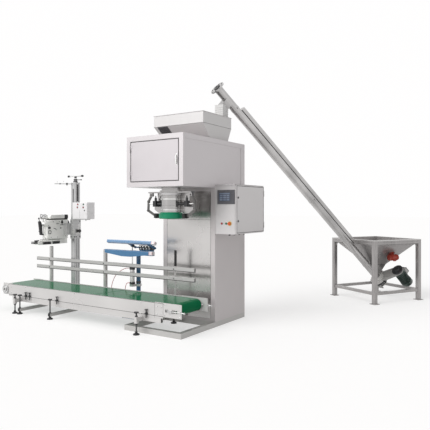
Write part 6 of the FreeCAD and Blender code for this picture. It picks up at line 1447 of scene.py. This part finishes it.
for side in (-1, 1):
    y = side * 0.0302
    lines.block((0.800, y - 0.0007, 0.0500), (3.725, y + 0.0007, 0.0600))
    lines.block((0.802, side * 0.0200 - 0.0012, 0.1148), (3.723, side * 0.0200 + 0.0012, 0.1154))
lines.block((0.7996, -0.030, 0.052), (0.8004, 0.030, 0.060))
piece("tube_strip_painted_shade", lines, "dark_gap_and_shade", "machine")
sleeve = Form()
DUCT_X, DUCT_Y = 0.2786, 0.3764
rings = []
for z, grow in ((2.700, 0.001), (2.708, 0.007), (2.722, 0.004), (2.736, 0.008), (2.750, 0.004),
                (2.764, 0.008),
                (2.778, 0.004), (2.792, 0.008), (2.806, 0.004), (2.820, 0.008), (2.834, 0.004), (2.850,
                                                                                                 0.007),
                (2.856, 0.001)):
    h = 0.058 + grow
    rings.append([(DUCT_X + sx * h, DUCT_Y + sy * h, z) for sx, sy in ((-1, -1), (1, -1), (1, 1), (-1, 1))])
for inner_z in (2.856, 2.700):
    h = 0.0585
    rings.append([(DUCT_X + sx * h, DUCT_Y + sy * h, inner_z) for sx,
                  sy in ((-1, -1), (1, -1), (1, 1), (-1, 1))])
sleeve.skin(rings, closed_loop=True)
piece("duct_sleeve", sleeve, "sleeve_white", "machine", bevel=0.002)

# Feeder stand
RIM_TOP_Z, HALF = 0.982, 0.500
# A lighter steel trim along the rim's top edge: painted highlight on the top of the rim.
trim = Form(STAND)
for x0, x1, y0, y1 in ((-HALF, HALF, -HALF - 0.003, -HALF), (-HALF, HALF, HALF, HALF + 0.003),
                       (-HALF - 0.003, -HALF, -HALF, HALF), (HALF, HALF + 0.003, -HALF, HALF)):
    trim.block((x0, y0, RIM_TOP_Z - 0.006), (x1, y1, RIM_TOP_Z + 0.003))
piece("stand_rim_highlight", trim, "rim_highlight_steel", "machine", bevel=0.001)
# Dark lines round the rim below its top edge: painted shadow beneath the rim.
lines = Form(STAND)
for x0, x1, y0, y1 in ((-HALF + 0.060, HALF - 0.060, -HALF - 0.0008, -HALF + 0.0005),
                       (-HALF + 0.060, HALF - 0.060, HALF - 0.0005, HALF + 0.0008),
                       (-HALF - 0.0008, -HALF + 0.0005, -HALF + 0.060, HALF - 0.060),
                       (HALF - 0.0005, HALF + 0.0008, -HALF + 0.060, HALF - 0.060)):
    lines.block((x0, y0, 0.9150), (x1, y1, 0.9185))
    lines.block((x0, y0, 0.9500), (x1, y1, 0.9515))
piece("stand_rim_painted_shade", lines, "dark_gap_and_shade", "machine")
anchors = Form(STAND)
gussets = Form(STAND)
for sx in (-1, 1):
    for sy in (-1, 1):
        anchors.turned([(0.0072, 0), (0.018, 0), (0.018, 0.0025), (0.0072, 0.0025)],
                       (sx * 0.510, sy * 0.510, 0.010),
                       (0, 0, 1), 24, ring=True)
        x, y = sx * (HALF - 0.060), sy * (HALF - 0.030)
        gussets.prism([(x, y - 0.003, 0.912), (x - sx * 0.060, y - 0.003, 0.912), (x, y - 0.003, 0.852)],
                      (0, 0.006, 0))
        x, y = sx * (HALF - 0.030), sy * (HALF - 0.060)
        gussets.prism([(x - 0.003, y, 0.912), (x - 0.003, y - sy * 0.060, 0.912), (x - 0.003, y, 0.852)],
                      (0.006, 0, 0))
piece("stand_washers", anchors, "bright_steel", "machine")
piece("stand_gussets", gussets, "stand_steel", "machine")

# The rails' lower lips, darkened with a dark steel as painted shade
lips = Form()
for z in (0.572, 0.692):
    lips.block((-2.725, -0.2176, z - 0.0002), (0.257, -0.2165, z + 0.0085))
piece("rail_lip_painted_shade", lips, "dark_steel", "machine")

# Slightly eased edges on the folded and welded steel
for name in ("base_frame", "housing_shell", "housing_door", "cabinet_shell", "cabinet_door",
             "conveyor_frame",
             "guide_rail", "sewing_base", "feeder_stand", "hopper"):
    eased = nodes[name].modifiers.new("eased", "BEVEL")
    eased.width = 0.0012
    eased.segments = 2
    eased.limit_method = "ANGLE"
    eased.angle_limit = math.radians(40)
